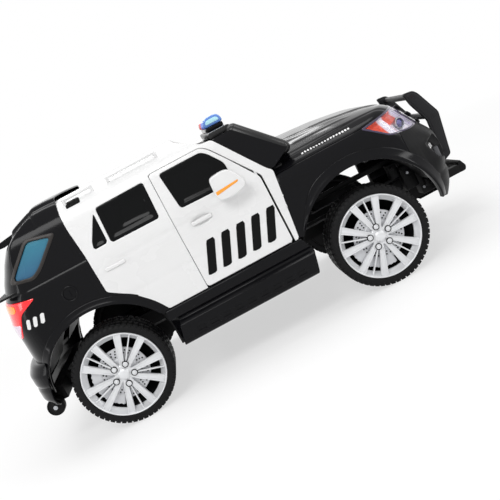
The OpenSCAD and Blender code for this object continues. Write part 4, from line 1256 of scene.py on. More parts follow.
def build_windshield():
    """Posts over the cabin's shoulders, two cross rails, the round edge bars and the pane."""
    bm = bmesh.new()
    for side in (-1, 1):
        one = form_sheet(cabin_form, (FRONT_X - 280, 195, BELT_Z - 20),
                         (FRONT_X - 90, HALF_W + 12, ROOF_Z + 14), (-900, 200, 0),
                         (900, 236, WINDOW_Z - 10), (5, 5, 5), ("+y", "+z"))
        trim(one, keep_in(rounded(POST, 3)))
        trim(one, axis_limit(1, 254, -1))
        if side < 0:
            mirrored(one)
        merge(bm, one)
    piece("windshield_posts", bm, "body", "black", ["windshield_frame"], wall=30, bevel=1.5)
    bm = bmesh.new()
    plate(bm, rounded([(FRONT_X - 268, WINDOW_Z + 12), (FRONT_X - 196, WINDOW_Z + 12),
                       (FRONT_X - 212, WINDOW_Z + 27), (FRONT_X - 268, WINDOW_Z + 27)], 5), -262, 262)
    plate(bm, rounded([(FRONT_X - 136, BELT_Z + 20), (FRONT_X - 103, BELT_Z + 30),
                       (FRONT_X - 105, BELT_Z + 19), (FRONT_X - 136, BELT_Z + 9)], 2), -292, 292)
    for side in (-1, 1):
        ends = [(FRONT_X - 208, side * 264, WINDOW_Z + 6), (FRONT_X - 118, side * 284, BELT_Z + 23)]
        rod(bm, *ends, POST_R, 48)
        for end in ends:
            bmesh.ops.create_uvsphere(bm, u_segments=48, v_segments=24, radius=POST_R,
                                      matrix=Matrix.Translation(end))
    soften(bm, 1.5, 2)
    piece("windshield_rails", bm, "body", "trim")
    bm = bmesh.new()
    plate(bm, [(FRONT_X - 222, WINDOW_Z + 8), (FRONT_X - 216, WINDOW_Z + 8), (FRONT_X - 128, BELT_Z + 23),
               (FRONT_X - 134, BELT_Z + 23)], -257, 257)
    piece("windshield_pane", bm, "body", "screen", ["windshield"], bevel=0.8)


LENS = [(FRONT_X - 266, WINDOW_Z + 39.3), (FRONT_X - 262, WINDOW_Z + 57), (FRONT_X - 252, WINDOW_Z + 64.5),
        (FRONT_X - 223, WINDOW_Z + 64.5), (FRONT_X - 213, WINDOW_Z + 57), (FRONT_X - 209, WINDOW_Z + 39.3)]


def build_light_bar():
    bm = bmesh.new()
    block(bm, *[(corner[0] + MID_X, *corner[1:]) for corner in span("light_bar_base")])
    for y in (-120, 120):
        block(bm, (FRONT_X - 252, y - 14, WINDOW_Z + 26), (FRONT_X - 222, y + 14, WINDOW_Z + 30))
    soften(bm, 3, 3)
    piece("light_bar_foot", bm, "body", "black", ["light_bar_base"])
    for side, word, slot in ((1, "red", "red_lens"), (-1, "blue", "blue_lens")):
        bm = bmesh.new()
        plate(bm, rounded(grown(LENS, -1.2), 9), side * 3, side * 138)
        for k in range(13):
            y = side * (8 + 10 * k)
            plate(bm, rounded(LENS, 9), y, y + side * 3.2)
        soften(bm, 1.0, 2)
        piece("light_bar_lens_" + word, bm, "body", "bar_" + word, ["light_bar_" + word])
        bm = bmesh.new()
        plate(bm, rounded(LENS, 10), side * 138.4, side * 150)
        soften(bm, 3.5, 3)
        piece("light_bar_cap_" + word, bm, "body", "cap_" + word)
        bm = bmesh.new()
        plate(bm, rounded(grown(LENS, -7), 4), side * 149.4, side * 151.2)
        soften(bm, 0.6, 2)
        piece("light_bar_window_" + word, bm, "body", "cap_glow" if word == "blue" else "bar_red")
    bm = bmesh.new()
    plate(bm, rounded(grown(LENS, -0.4), 9), -2.8, 2.8)
    soften(bm, 0.6, 2)
    piece("light_bar_divider", bm, "body", "black")


MIRROR = [(48, 462), (54, 469), (80, 472), (99, 470), (112, 455), (128, 425), (118, 413), (80, 405),
          (52, 409), (46, 425)]
MIRROR_FOOT = [(74, 411), (108, 415), (112, 423), (72, 423)]
MIRROR_FLASHER = [(50, 424), (110, 432), (112, 437), (50, 433)]


def build_mirrors():
    for side, word in SIDES:
        for name, outline, y0, y1, soft, finish, nodes in (
                ("shell", rounded(MIRROR, 9), 320, 350.5, (9, 5, 50), "white", ["mirror_" + word]),
                ("foot", rounded(MIRROR_FOOT, 2), 306, 322, (1.5, 2), "white", ()),
                ("flasher", rounded(MIRROR_FLASHER, 2.5), 349, 351.4, (0.8, 2), "orange_trim", ())):
            bm = bmesh.new()
            plate(bm, outline, y0, y1)
            soften(bm, *soft)
            piece("mirror_%s_%s" % (name, word), bm, "door_" + word, finish, nodes,
                  side=side)


# ---- Lower parts: running boards, push bar, handle, trolley wheels

def beam(bm, section, x0, x1):
    """A (y, z) section pushed along X; x0 and x1 give each end's place as a function of z."""
    ring = [bm.verts.new((0, y, z)) for y, z in section]
    face = bm.faces.new(ring)
    made = bmesh.ops.extrude_face_region(bm, geom=[face])["geom"]
    far = [v for v in made if isinstance(v, bmesh.types.BMVert)]
    for verts, end in ((ring, x0), (far, x1)):
        for v in verts:
            v.co.x = end(v.co.z)
    bmesh.ops.recalc_face_normals(bm, faces=list({f for v in ring + far for f in v.link_faces}))


STEP_SECTION = [(281, 228), (309, 228), (314, 224), (315.5, 212), (313, 200), (306, 193), (306, 189),
                (311, 184), (319, 178), (321, 160), (319, 136), (314, 127), (304, 123), (281, 123)]


def build_running_boards():
    rear_end = curve([(60, -198), (120, -198), (195, -179), (198, -204), (233, -198), (300, -198)], 3)
    front_end = curve([(60, 188), (120, 188), (187, 202), (233, 183), (300, 183)], 3)
    for side, word in SIDES:
        bm = bmesh.new()
        beam(bm, STEP_SECTION, rear_end, front_end)
        soften(bm, 2.2, 3, 20)
        for k in range(9):
            x = -150 + 36 * k
            block(bm, (x, 316, 140), (x + 22, 321.6, 144))
            block(bm, (x, 316, 150), (x + 22, 321.8, 154))
        piece("sill_step_" + word, bm, "body", "black", ["running_board_" + word], side=side)


PUSH_BAR = [(657, 405), (668, 393), (700, 322), (683, 201), (638, 181), (660, 281), (661, 315), (636, 373),
            (628, 408)]


def build_push_bar():
    bm = bmesh.new()
    for side in (-1, 1):
        plate(bm, rounded(PUSH_BAR, 7), side * 119.5, side * 130.5)
        plate(bm, rounded(grown(PUSH_BAR, -5.5), 5), side * 118.2, side * 131.2)
    soften(bm, 1.6, 3)
    for x, z in ((654, 391), (682, 318), (672, 215)):
        rod(bm, (x, -119, z), (x, 119, z), 9, 32)
        for side in (-1, 1):
            rod(bm, (x, side * 130, z), (x, side * 132.2, z), 5, 6)
    piece("push_bar_frame", bm, "body", "grey", ["push_bar"])


def build_handle():
    bm = bmesh.new()
    for side in (-1, 1):
        low, high = sorted((side * 63.2, side * 86.8))
        block(bm, (HANDLE_X - 168, low, 129.2), (HANDLE_X - 14, high, 152.8))
    soften(bm, 3, 3)
    plate(bm, rounded([(700, 129), (718, 129), (723.5, 141), (712, 164), (702, 158)], 5), -87, 87)
    soften(bm, 2, 3)
    for k in range(9):
        y = -48 + 12 * k
        rod(bm, (HANDLE_X - 8, y, 131), (HANDLE_X - 3, y, 142), 2.4, 12)
    piece("pull_handle", bm, "trolley_handle", "dark", ["handle"])


TROLLEY_AXLE = (-581, 123)
TROLLEY_Y = 222.5
TROLLEY_PROFILE = [(5.2, 211), (9, 210.4), (14, 213), (19, 213), (21, 210.8), (23.4, 212), (24, 214.5),
                   (24, 230.5), (23.4, 233), (21, 234.2), (19, 232), (14, 232), (9, 234.6), (5.2, 234)]


def build_trolley_wheels():
    x, z = TROLLEY_AXLE
    for side, word in SIDES:
        bm = bmesh.new()
        turned(bm, [(r, h - TROLLEY_Y) for r, h in TROLLEY_PROFILE], 48, (x, TROLLEY_Y, z))
        bolt = bmesh.new()
        rod(bolt, (x, 205, z), (x, 239, z), 4.0, 16)
        rod(bolt, (x, 236, z), (x, 240, z), 6.5, 6)
        soften(bolt, 0.6, 2)
        piece("trolley_bolt_" + word, bolt, "trolley_" + word, "steel", side=side)
        piece("trolley_roller_" + word, bm, "trolley_" + word, "tyre",
              ["trolley_wheel_" + word], side=side)


# ---- Wheels

RIM_FACE_Y = 303
SPOKE_GROUPS = 5
GROUP_ANGLE = 360 // SPOKE_GROUPS
SPOKE_LEAN = math.radians(17.5)
BOLT_RING_R = 27
DISC_HOLE_ROWS = ((46, 0.0), (53, 0.05), (60, 0.1))


def on_circle(radius, angle):
    """The (x, z) place on a circle, from straight up and turning towards the front."""
    return radius * math.sin(angle), radius * math.cos(angle)


def wheel_parts(look):
    """The shapes of one left wheel about its own centre, keyed by part."""
    parts = {}
    y1 = RIM_FACE_Y
    bm = bmesh.new()
    tyre = [(RIM_R + 0.3, 215), (RIM_R + 4, 213.4), (TYRE_R - 12, 214.4), (TYRE_R - 5, 218),
            (TYRE_R - 2.4, 224), (TYRE_R - 2.2, 291), (TYRE_R - 4, 298), (TYRE_R - 11, 302),
            (RIM_R + 9, y1 - 0.6), (RIM_R + 4, y1 + 0.2), (RIM_R + 0.3, y1 - 2)]
    turned(bm, tyre, 96)
    blocks = look.tread_blocks
    for k in range(blocks):
        turn, half = 2 * math.pi * k / blocks, 0.39 * 2 * math.pi * TYRE_R / blocks
        for low, high, skew in ((216, 243, 0.5), (246, 270, 0), (273, 299, -0.5)):
            made = block(bm, (-half, low, TYRE_R - 7), (half, high, TYRE_R - 0.5))
            swing(bm, turn + skew * math.pi / blocks * 2, made)
        made = block(bm, (-3, 298.5, TYRE_R - 13), (3, 302.0, TYRE_R - 4))
        swing(bm, turn + math.pi / blocks, made)
    parts["tyre"] = bm

    bm = bmesh.new()
    lip = [(RIM_R - 16, y1 - 15.5), (RIM_R - 14.5, y1 - 14), (RIM_R - 6.5, y1 - 6), (RIM_R - 4.6, y1 - 1),
           (RIM_R - 3, y1 + 1.6), (RIM_R - 1.4, y1 + 1.8), (RIM_R, y1 + 0.2), (RIM_R, y1 - 12),
           (RIM_R - 5, y1 - 18), (RIM_R - 16, y1 - 18)]
    turned(bm, lip, 96)
    for group in range(SPOKE_GROUPS):
        centre = math.radians(GROUP_ANGLE * group)
        for lean in (-SPOKE_LEAN, SPOKE_LEAN):
            made = spoke(bm, 19, 105, 5.4, 10.2, y1 - 11, y1 - 3.2)
            swing(bm, centre + lean, made)
            for edge in (-1, 1):
                made = spoke(bm, 28, 104, 1.1, 1.5, y1 - 7, y1 - 0.6)
                for v in made:
                    v.co.x += edge * (4.8 + 3.0 * (v.co.z - 30) / 69)
                swing(bm, centre + lean, made)
        made = spoke(bm, 20, 103, 2.0, 1.6, y1 - 11, y1 - 3.5)
        swing(bm, centre, made)
    hub = [(0.01, y1 - 14), (24, y1 - 14), (25, y1 - 12), (24, y1 - 7), (20, y1 - 5), (16, y1 - 4.4),
           (0.01, y1 - 4.4)]
    turned(bm, hub, 64, close=False)
    parts["face"] = bm

    bm = bmesh.new()
    nut = [(0.01, -4), (6.6, -4), (6.6, 4.5), (5.6, 5.6), (4.6, 5.6), (3.8, 4.4), (3.0, 6.4), (0.01, 6.8)]
    for group in range(SPOKE_GROUPS):
        x, z = on_circle(BOLT_RING_R, math.radians(GROUP_ANGLE * group))
        turned(bm, nut, 24, (x, y1 - 5, z), close=False)
    turned(bm, [(0.01, -5), (15, -5), (15, 1.4), (13.6, 2.8), (9, 5.2), (0.01, 6.0)], 40,
           (0, y1 - 4, 0), close=False)
    parts["caps"] = bm

    bm = bmesh.new()
    well = [(11, 218), (RIM_R - 9, 264), (RIM_R - 8, y1 - 13), (RIM_R - 0.2, y1 - 13), (RIM_R - 0.2, 215),
            (11, 215)]
    turned(bm, well, 64)
    turned(bm, [(11, 216), (18, 216), (18, y1 - 14), (6.4, y1 - 14), (6.4, 216)], 40)
    turned(bm, [(6.4, 214), (12, 214), (12, 218), (6.4, 218)], 32)
    parts["well"] = bm

    bm = bmesh.new()
    turned(bm, [(20, 282), (66, 282), (67.5, 283.5), (67.5, 286.5), (66, 288), (40, 288), (38, 289.5),
                (20, 289.5)], 72)
    parts["disc"] = bm
    # Painted shade: dark dots on the brake disc for its drilled holes, and a dark ring round each nut for the
    # shaded recess it sits in.
    bm = bmesh.new()
    for k in range(30):
        angle = math.radians(12 * k)
        for r, lag in DISC_HOLE_ROWS:
            x, z = on_circle(r, angle + lag)
            rod(bm, (x, 287, z), (x, 288.3, z), 2.2, 12)
    for group in range(SPOKE_GROUPS):
        x, z = on_circle(BOLT_RING_R, math.radians(GROUP_ANGLE * group))
        turned(bm, [(6.9, -4), (8.6, -4), (8.6, 4.9), (6.9, 4.9)], 24, (x, y1 - 5, z))
    parts["holes"] = bm
    bm = bmesh.new()
    angles = [math.radians(266 - 4 * k) for k in range(25)]
    ridged = [on_circle(84.5 if k % 2 else 82, a) for k, a in enumerate(angles)]
    plate(bm, ridged + [on_circle(56, a) for a in reversed(angles)], 280, 289.6)
    soften(bm, 2.0, 2, 50)
    parts["caliper"] = bm
    return parts


def spoke(bm, r0, r1, w0, w1, y0, y1):
    """A tapered bar along +Z. Returns its new vertices."""
    return plate(bm, [(-w0, r0), (w0, r0), (w1, r1), (-w1, r1)], y0, y1)


# Slot and material of each wheel part, and the width of its softened edges.
WHEEL_LOOKS = {"tyre": ("tyre_plastic", "tyre", 1.1), "face": ("silver_plastic", "silver", 1.0),
               "caps": ("silver_plastic", "silver", 0.6), "well": ("dark_plastic", "dark", 0.8),
               "disc": ("silver_plastic", "disc", 0), "holes": ("dark_plastic", "dark", 0),
               "caliper": ("silver_plastic", "disc", 0)}


def build_wheels(look):
    """Four wheels from one set of shapes; the rear ones are turned half a spoke group."""
    parts = wheel_parts(look)
    for name, (_, _, width) in WHEEL_LOOKS.items():
        if width:
            soften(parts[name], width, 2, 35)
    for end, x in (("front", FRONT_X), ("rear", REAR_X)):
        for side, word in SIDES:
            body = "wheel_%s_%s" % (end, word)
            for name, source in parts.items():
                bm = source.copy()
                if end == "rear" and name != "tyre":
                    swing(bm, math.radians(GROUP_ANGLE / 2), bm.verts)
                bmesh.ops.translate(bm, vec=(x, 0, AXLE_Z), verts=bm.verts)
                slot, finish, _ = WHEEL_LOOKS[name]
                nodes = {"tyre": ["tyre_%s_%s" % (end, word)], "face": ["rim_%s_%s" % (end, word)]}
                piece("wheel_%s_%s_%s" % (name, end, word), bm, body, finish, nodes.get(name, ()),
                      side=side)


# ---- Inside: seats, dashboard, steering wheel, rear shelf

def build_seats():
    bm = bmesh.new()
    base = [(-190, 132), (-36, 132), (-32, 250), (-44, 256), (-140, 254), (-205, 252), (-215, 200)]
    back = [(-200, 200), (-146, 250), (-150, 262), (-222, 458), (-232, 466), (-256, 462), (-262, 452),
            (-216, 250)]
    for y0, y1 in ((-266, -6), (6, 266)):
        plate(bm, rounded(base, 9), y0, y1)
        plate(bm, rounded(back, 9), y0 + 2, y1 - 2)
    plate(bm, rounded([(-188, 134), (-40, 134), (-40, 250), (-188, 250)], 5), -8, 8)
    soften(bm, 7, 4, 50)
    for y0, y1 in ((-240, -32), (32, 240)):
        for k in range(5):
            x = -176 + 27 * k
            block(bm, (x, y0 + 8, 246), (x + 22, y1 - 8, 260))
        for k in range(5):
            x, z = -158 - 10 * k, 292 + 30 * k
            block(bm, (x - 22, y0 + 8, z), (x + 2, y1 - 8, z + 24))
    soften(bm, 2.5, 3, 70)
    piece("seat_shells", bm, "body", "dark", ["seat"])


DIAL_AXIS = (-1, 0, 0.1)


def build_dashboard():
    bm = bmesh.new()
    outline = [(115, 350), (108, 420), (122, 443), (150, 441), (180, 433), (186, 392), (186, 350)]
    plate(bm, rounded(outline, 8), -268, 268)
    soften(bm, 4, 3)
    plate(bm, rounded([(104, 424), (118, 446), (150, 449), (160, 440), (120, 420)], 6), 62, 182)
    soften(bm, 2, 3, 60)
    piece("dashboard_skin", bm, "body", "dark", ["dashboard"])
    bm = bmesh.new()
    for y in (94, 150):
        turned(bm, [(17, -2), (20, -2), (20, 1.5), (18.5, 2.6), (17, 1.5)], 36, (110, y, 404), DIAL_AXIS)
    for y in (-30, 0, 30):
        turned(bm, [(0.01, -2), (7, -2), (6.4, 5), (0.01, 6)], 24, (111, y, 398), DIAL_AXIS, close=False)
    block(bm, (107, -62, 366), (112, 62, 382))
    piece("dashboard_dials", bm, "body", "silver")
    bm = bmesh.new()
    plate(bm, rounded([(115, 350), (186, 350), (190, 132), (160, 132), (120, 300)], 6), -30, 30)
    soften(bm, 3, 3)
    piece("centre_column", bm, "body", "dark")


def build_steering_wheel():
    """The steering wheel, drawn flat about Y and then turned on to its shaft."""
    centre, axis = Vector(STEER_CENTRE), Vector((-1, 0, 1)).normalized()
    bm = bmesh.new()
    ring = [(75 + 10 * math.cos(a), 10 * math.sin(a)) for a in (2 * math.pi * k / 16 for k in range(16))]
    turned(bm, ring, 64)
    turned(bm, [(0.01, -8), (28, -8), (31, -3), (29, 6), (20, 9), (0.01, 10)], 48, close=False)
    for angle in (90, 210, 330):
        swing(bm, math.radians(angle), block(bm, (26, -4, -9), (70, 4, 9)))
    soften(bm, 2, 2, 60)
    turn = Vector((0, 1, 0)).rotation_difference(axis).to_matrix()
    bmesh.ops.rotate(bm, cent=(0, 0, 0), matrix=turn, verts=bm.verts)
    bmesh.ops.translate(bm, vec=centre, verts=bm.verts)
    rod(bm, centre - axis * 6, centre - axis * STEER_SHAFT, 5.8, 24)
    piece("steering_rim", bm, "steering", "dark", ["steering_wheel"])


def build_rear_shelf():
    bm = bmesh.new()
    block(bm, (-560, -296, 437.4), (-258, 296, 442.8))
    for k in range(9):
        y = -240 + 60 * k
        block(bm, (-470, y - 6, 441), (-268, y + 6, 445))
    soften(bm, 1.2, 2)
    piece("rear_shelf_top", bm, "body", "dark", ["rear_shelf"])


NOSE_BLOCKS = (((206, 140, 262), (600, 152, 276)), ((236, 150, 214), (560, 158, 222)),
               ((548, 150, 150), (596, 196, 232)), ((514, 150, 178), (550, 188, 244)),
               ((490, 150, 222), (516, 176, 262)), ((560, 196, 168), (582, 214, 190)),
               ((566, 150, 232), (610, 176, 300)))


def build_nose_frame():
    """Rails, brackets and screws seen under the nose."""
    bm, screws = bmesh.new(), bmesh.new()
    for side in (-1, 1):
        for low, high in NOSE_BLOCKS:
            y0, y1 = sorted((side * low[1], side * high[1]))
            block(bm, (low[0], y0, low[2]), (high[0], y1, high[2]))
        for k in range(6):
            rod(bm, (500 + 18 * k, side * 186, 252 - 15 * k), (500 + 18 * k, side * 194, 252 - 15 * k), 5, 12)
        for x, z in ((572, 206), (556, 168), (530, 224), (584, 178)):
            rod(screws, (x, side * 190, z), (x, side * 198.4, z), 3.6, 16)
    block(bm, (560, -HANDLE_SLOT - 4, 118), (NOSE_X - 18, HANDLE_SLOT + 4, 121))
    soften(bm, 1.5, 2)
    piece("nose_brackets", bm, "body", "dark")
    piece("nose_screws", screws, "body", "steel")


def build_hood_dashes():
    """A broken white line along each side of the hood, where such toys carry small lettering."""
    bars = slanted(408.5, 413.5, [FRONT_X - 84 + i * 8.2 for i in range(17)], 5.4, 1.0)
    film_marks("hood_dashes_", nose_sheet(4.0), bars, lambda p: hood_relief(p) + 0.3,
               "mark_white")


def build_bumper_marks():
    """Three short white bars on each corner of the front bumper."""
    base = nose_sheet(3.4)
    trim(base, axis_limit(0, BUMPER_X0 + 20, -1))
    film_marks("bumper_mark_", base, slanted(260, 274, (221, 231, 241), 6.6, 0),
               lambda p: bumper_relief(p) + 0.4, "mark_white", columns=END_VIEW)


def build_roof_slot_shade():
    """A black film in each roof shoulder: painted shade standing in for the dark inside of a slot."""
    film_marks("roof_slot_", side_sheet(5), slanted(562, 576, (-291,), 38, 0), even(0.5),
               "mark_black", wall=1)


def build_small_parts():
    """A round filler cap on each rear quarter."""
    x, z = REAR_X - 11, 379
    y = float(skin_y(tail_form, x, z)[0])
    for side, word in reversed(SIDES):
        bm = bmesh.new()
        turned(bm, [(16.5, -3), (19.6, -3), (19.6, 1.8), (18, 3), (16.5, 1.8)], 48, (x, y, z))
        turned(bm, [(0.01, -3), (16, -3), (16, 0.4), (0.01, 1.2)], 48, (x, y, z), close=False)
        block(bm, (x - 2, y - 1, z - 9), (x + 2, y + 4, z + 9))
        soften(bm, 0.7, 2, 60)
        piece("fuel_cap_" + word, bm, "body", "black", side=side)


def build_tail_marks():
    """White slanted bars behind the rear wheel arch, in place of numbers."""
    bars = [rounded(bar, 2) for bar in slanted(345, 370, (-520, -500, -480), 11, 10)]
    film_marks("tail_mark_", tail_sheet(6), bars, lambda p: tail_relief(p) + 0.4,
               "mark_white", wall=0.6)


def finish_chassis():
    """Gives the frame's own chassis parts their materials."""
    kept = {"floor_tub": "dark", "battery": "grey", "gearboxes": "dark", "front_beam": "dark",
            "knuckle_left": "dark", "knuckle_right": "dark", "tie_rod": "steel", "rear_axle": "steel",
            "trolley_bracket": "dark"}
    for node, finish in kept.items():
        for place in bpy.data.objects[node].material_slots:
            place.material = MADE[finish]


# ---- Settings, operators and panel

class LookSettings(bpy.types.PropertyGroup):
    """Colours and lamp powers of the toy and its stage."""
    white: bpy.props.FloatVectorProperty(
        name="White", description="Colour of the white mouldings", size=3, subtype="COLOR",
        default=(0.80, 0.80, 0.80), min=0, max=1)
    black: bpy.props.FloatVectorProperty(
        name="Black", description="Colour of the gloss black mouldings", size=3, subtype="COLOR",
        default=(0.004, 0.004, 0.005), min=0, max=1)
    flare: bpy.props.FloatProperty(
        name="Arch flare", description="How far the wheel arches swell, as a share", default=1.0, min=0.2,
        max=1.6, subtype="FACTOR")
    tread_blocks: bpy.props.IntProperty(
        name="Tread blocks", description="Blocks round each row of a tyre's tread", default=56, min=24,
        max=90)
    room_light: bpy.props.FloatProperty(
        name="Room light", description="Strength of the soft fill from all round", default=0.42, min=0)
    key_light: bpy.props.FloatProperty(
        name="Key", description="Power of the main softbox in watts", default=46, min=0, subtype="POWER",
        unit="POWER")
    top_light: bpy.props.FloatProperty(
        name="Top", description="Power of the overhead softbox in watts", default=36, min=0,
        subtype="POWER", unit="POWER")
    nose_light: bpy.props.FloatProperty(
        name="Ends", description="Power of the strips past nose and tail in watts", default=16, min=0,
        subtype="POWER", unit="POWER")
    far_light: bpy.props.FloatProperty(
        name="Far", description="Power of the softbox behind in watts", default=20, min=0,
        subtype="POWER", unit="POWER")


class SUV_OT_materials(bpy.types.Operator):
    """Makes every procedural material"""
    bl_idname = "toy_suv.materials"
    bl_label = "Materials"

    def execute(self, context):
        make_materials(context.scene.toy_suv_look)
        return {"FINISHED"}


class SUV_OT_side_panels(bpy.types.Operator):
    """Builds the white side panels and their windows"""
    bl_idname = "toy_suv.side_panels"
    bl_label = "Side panels"

    def execute(self, context):
        build_side_panels()
        return {"FINISHED"}


class SUV_OT_doors(bpy.types.Operator):
    """Builds the doors with their windows and handles"""
    bl_idname = "toy_suv.doors"
    bl_label = "Doors"

    def execute(self, context):
        build_doors()
        return {"FINISHED"}


class SUV_OT_marks(bpy.types.Operator):
    """Lays plain slanted blocks on the doors"""
    bl_idname = "toy_suv.marks"
    bl_label = "Door marks"

    def execute(self, context):
        build_marks()
        return {"FINISHED"}


class SUV_OT_nose(bpy.types.Operator):
    """Builds the hood, fenders, bumper and grille"""
    bl_idname = "toy_suv.nose"
    bl_label = "Nose"

    def execute(self, context):
        build_nose()
        return {"FINISHED"}


class SUV_OT_arch_lips(bpy.types.Operator):
    """Builds the rolled edges of the wheel arches"""
    bl_idname = "toy_suv.arch_lips"
    bl_label = "Arch lips"

    def execute(self, context):
        build_arch_lips(context.scene.toy_suv_look)
        return {"FINISHED"}


class SUV_OT_headlights(bpy.types.Operator):
    """Builds the headlights"""
    bl_idname = "toy_suv.headlights"
    bl_label = "Headlights"

    def execute(self, context):
        build_headlights()
        return {"FINISHED"}


class SUV_OT_tail(bpy.types.Operator):
    """Builds the rear body and its windows"""
    bl_idname = "toy_suv.tail"
    bl_label = "Tail"

    def execute(self, context):
        build_tail()
        return {"FINISHED"}


class SUV_OT_tail_lamps(bpy.types.Operator):
    """Builds the tail lamps"""
    bl_idname = "toy_suv.tail_lamps"
    bl_label = "Tail lamps"

    def execute(self, context):
        build_tail_lamps()
        return {"FINISHED"}


class SUV_OT_rear_bumper(bpy.types.Operator):
    """Builds the rear bumper and the blank plate"""
    bl_idname = "toy_suv.rear_bumper"
    bl_label = "Rear bumper"

    def execute(self, context):
        build_rear_bumper()
        return {"FINISHED"}


class SUV_OT_roof_parts(bpy.types.Operator):
    """Builds the roof rails and the spoiler"""
    bl_idname = "toy_suv.roof_parts"
    bl_label = "Roof parts"

    def execute(self, context):
        build_roof_parts()
        return {"FINISHED"}


class SUV_OT_windshield(bpy.types.Operator):
    """Builds the windshield and its frame"""
    bl_idname = "toy_suv.windshield"
    bl_label = "Windshield"

    def execute(self, context):
        build_windshield()
        return {"FINISHED"}


class SUV_OT_light_bar(bpy.types.Operator):
    """Builds the light bar"""
    bl_idname = "toy_suv.light_bar"
    bl_label = "Light bar"

    def execute(self, context):
        build_light_bar()
        return {"FINISHED"}


class SUV_OT_mirrors(bpy.types.Operator):
    """Builds the door mirrors"""
    bl_idname = "toy_suv.mirrors"
    bl_label = "Mirrors"

    def execute(self, context):
        build_mirrors()
        return {"FINISHED"}


class SUV_OT_running_boards(bpy.types.Operator):
    """Builds the running boards"""
    bl_idname = "toy_suv.running_boards"
    bl_label = "Running boards"

    def execute(self, context):
        build_running_boards()
        return {"FINISHED"}


class SUV_OT_push_bar(bpy.types.Operator):
    """Builds the push bar"""
    bl_idname = "toy_suv.push_bar"
    bl_label = "Push bar"

    def execute(self, context):
        build_push_bar()
        return {"FINISHED"}


class SUV_OT_handle(bpy.types.Operator):
    """Builds the pull-out handle"""
    bl_idname = "toy_suv.handle"
    bl_label = "Pull handle"

    def execute(self, context):
        build_handle()
        return {"FINISHED"}


class SUV_OT_trolley_wheels(bpy.types.Operator):
    """Builds the small wheels under the tail"""
    bl_idname = "toy_suv.trolley_wheels"
    bl_label = "Trolley wheels"

    def execute(self, context):
        build_trolley_wheels()
        return {"FINISHED"}


class SUV_OT_wheels(bpy.types.Operator):
    """Builds the four road wheels"""
    bl_idname = "toy_suv.wheels"
    bl_label = "Wheels"

    def execute(self, context):
        build_wheels(context.scene.toy_suv_look)
        return {"FINISHED"}


class SUV_OT_seats(bpy.types.Operator):
    """Builds the pair of seats"""
    bl_idname = "toy_suv.seats"
    bl_label = "Seats"

    def execute(self, context):
        build_seats()
        return {"FINISHED"}


class SUV_OT_dashboard(bpy.types.Operator):
    """Builds the dashboard"""
    bl_idname = "toy_suv.dashboard"
    bl_label = "Dashboard"

    def execute(self, context):
        build_dashboard()
        return {"FINISHED"}


class SUV_OT_steering_wheel(bpy.types.Operator):
    """Builds the steering wheel and its shaft"""
    bl_idname = "toy_suv.steering_wheel"
    bl_label = "Steering wheel"

    def execute(self, context):
        build_steering_wheel()
        return {"FINISHED"}


class SUV_OT_rear_shelf(bpy.types.Operator):
    """Builds the ribbed shelf behind the seats"""
    bl_idname = "toy_suv.rear_shelf"
    bl_label = "Rear shelf"

    def execute(self, context):
        build_rear_shelf()
        return {"FINISHED"}


class SUV_OT_small_parts(bpy.types.Operator):
    """Builds the filler caps"""
    bl_idname = "toy_suv.small_parts"
    bl_label = "Small parts"

    def execute(self, context):
        build_small_parts()
        return {"FINISHED"}


class SUV_OT_nose_frame(bpy.types.Operator):
    """Builds the brackets and screws under the nose"""
    bl_idname = "toy_suv.nose_frame"
    bl_label = "Nose frame"

    def execute(self, context):
        build_nose_frame()
        return {"FINISHED"}


class SUV_OT_hood_dashes(bpy.types.Operator):
    """Lays a broken white line on the hood"""
    bl_idname = "toy_suv.hood_dashes"
    bl_label = "Hood dashes"

    def execute(self, context):
        build_hood_dashes()
        return {"FINISHED"}


class SUV_OT_bumper_marks(bpy.types.Operator):
    """Lays short white bars on the bumper's corners"""
    bl_idname = "toy_suv.bumper_marks"
    bl_label = "Bumper marks"

    def execute(self, context):
        build_bumper_marks()
        return {"FINISHED"}


class SUV_OT_roof_slot_shade(bpy.types.Operator):
    """Lays a black film of painted shade where each roof shoulder has a slot"""
    bl_idname = "toy_suv.roof_slots"
    bl_label = "Roof slots"

    def execute(self, context):
        build_roof_slot_shade()
        return {"FINISHED"}


class SUV_OT_tail_marks(bpy.types.Operator):
    """Lays plain slanted bars on the rear quarters"""
    bl_idname = "toy_suv.tail_marks"
    bl_label = "Tail marks"

    def execute(self, context):
        build_tail_marks()
        return {"FINISHED"}


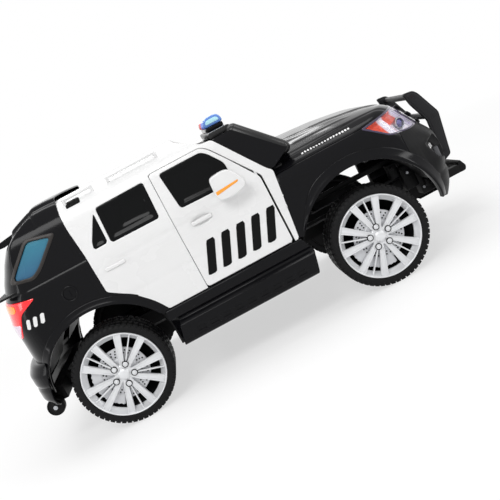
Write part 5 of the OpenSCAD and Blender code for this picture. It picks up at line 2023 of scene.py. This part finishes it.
class SUV_OT_chassis(bpy.types.Operator):
    """Gives the chassis parts their materials"""
    bl_idname = "toy_suv.chassis"
    bl_label = "Chassis"

    def execute(self, context):
        finish_chassis()
        return {"FINISHED"}


class SUV_OT_stage(bpy.types.Operator):
    """Sets up the floor, the lamps, the sky and the camera"""
    bl_idname = "toy_suv.stage"
    bl_label = "Stage"

    def execute(self, context):
        make_stage(context.scene.toy_suv_look)
        return {"FINISHED"}


OPERATORS = [
    SUV_OT_materials, SUV_OT_side_panels, SUV_OT_doors, SUV_OT_marks, SUV_OT_nose, SUV_OT_arch_lips,
    SUV_OT_headlights, SUV_OT_tail, SUV_OT_tail_lamps, SUV_OT_rear_bumper, SUV_OT_roof_parts,
    SUV_OT_windshield, SUV_OT_light_bar, SUV_OT_mirrors, SUV_OT_running_boards, SUV_OT_push_bar,
    SUV_OT_handle, SUV_OT_trolley_wheels, SUV_OT_wheels, SUV_OT_seats, SUV_OT_dashboard,
    SUV_OT_steering_wheel, SUV_OT_rear_shelf, SUV_OT_small_parts, SUV_OT_nose_frame, SUV_OT_hood_dashes,
    SUV_OT_bumper_marks, SUV_OT_roof_slot_shade, SUV_OT_tail_marks, SUV_OT_chassis, SUV_OT_stage,
]


class SUV_PT_panel(bpy.types.Panel):
    """Buttons for each group of pieces."""
    bl_label = "Toy SUV"
    bl_space_type = "VIEW_3D"
    bl_region_type = "UI"
    bl_category = "Toy SUV"

    def draw(self, context):
        look = context.scene.toy_suv_look
        for name in LookSettings.__annotations__:
            self.layout.prop(look, name)
        for cls in OPERATORS:
            self.layout.operator(cls.bl_idname)


CLASSES = [LookSettings] + OPERATORS + [SUV_PT_panel]


def register():
    for cls in CLASSES:
        bpy.utils.register_class(cls)
    bpy.types.Scene.toy_suv_look = bpy.props.PointerProperty(type=LookSettings)


def unregister():
    del bpy.types.Scene.toy_suv_look
    for cls in reversed(CLASSES):
        bpy.utils.unregister_class(cls)


def main():
    register()
    for cls in OPERATORS:
        group, name = cls.bl_idname.split(".")
        getattr(getattr(bpy.ops, group), name)()


if __name__ == "__main__":
    main()
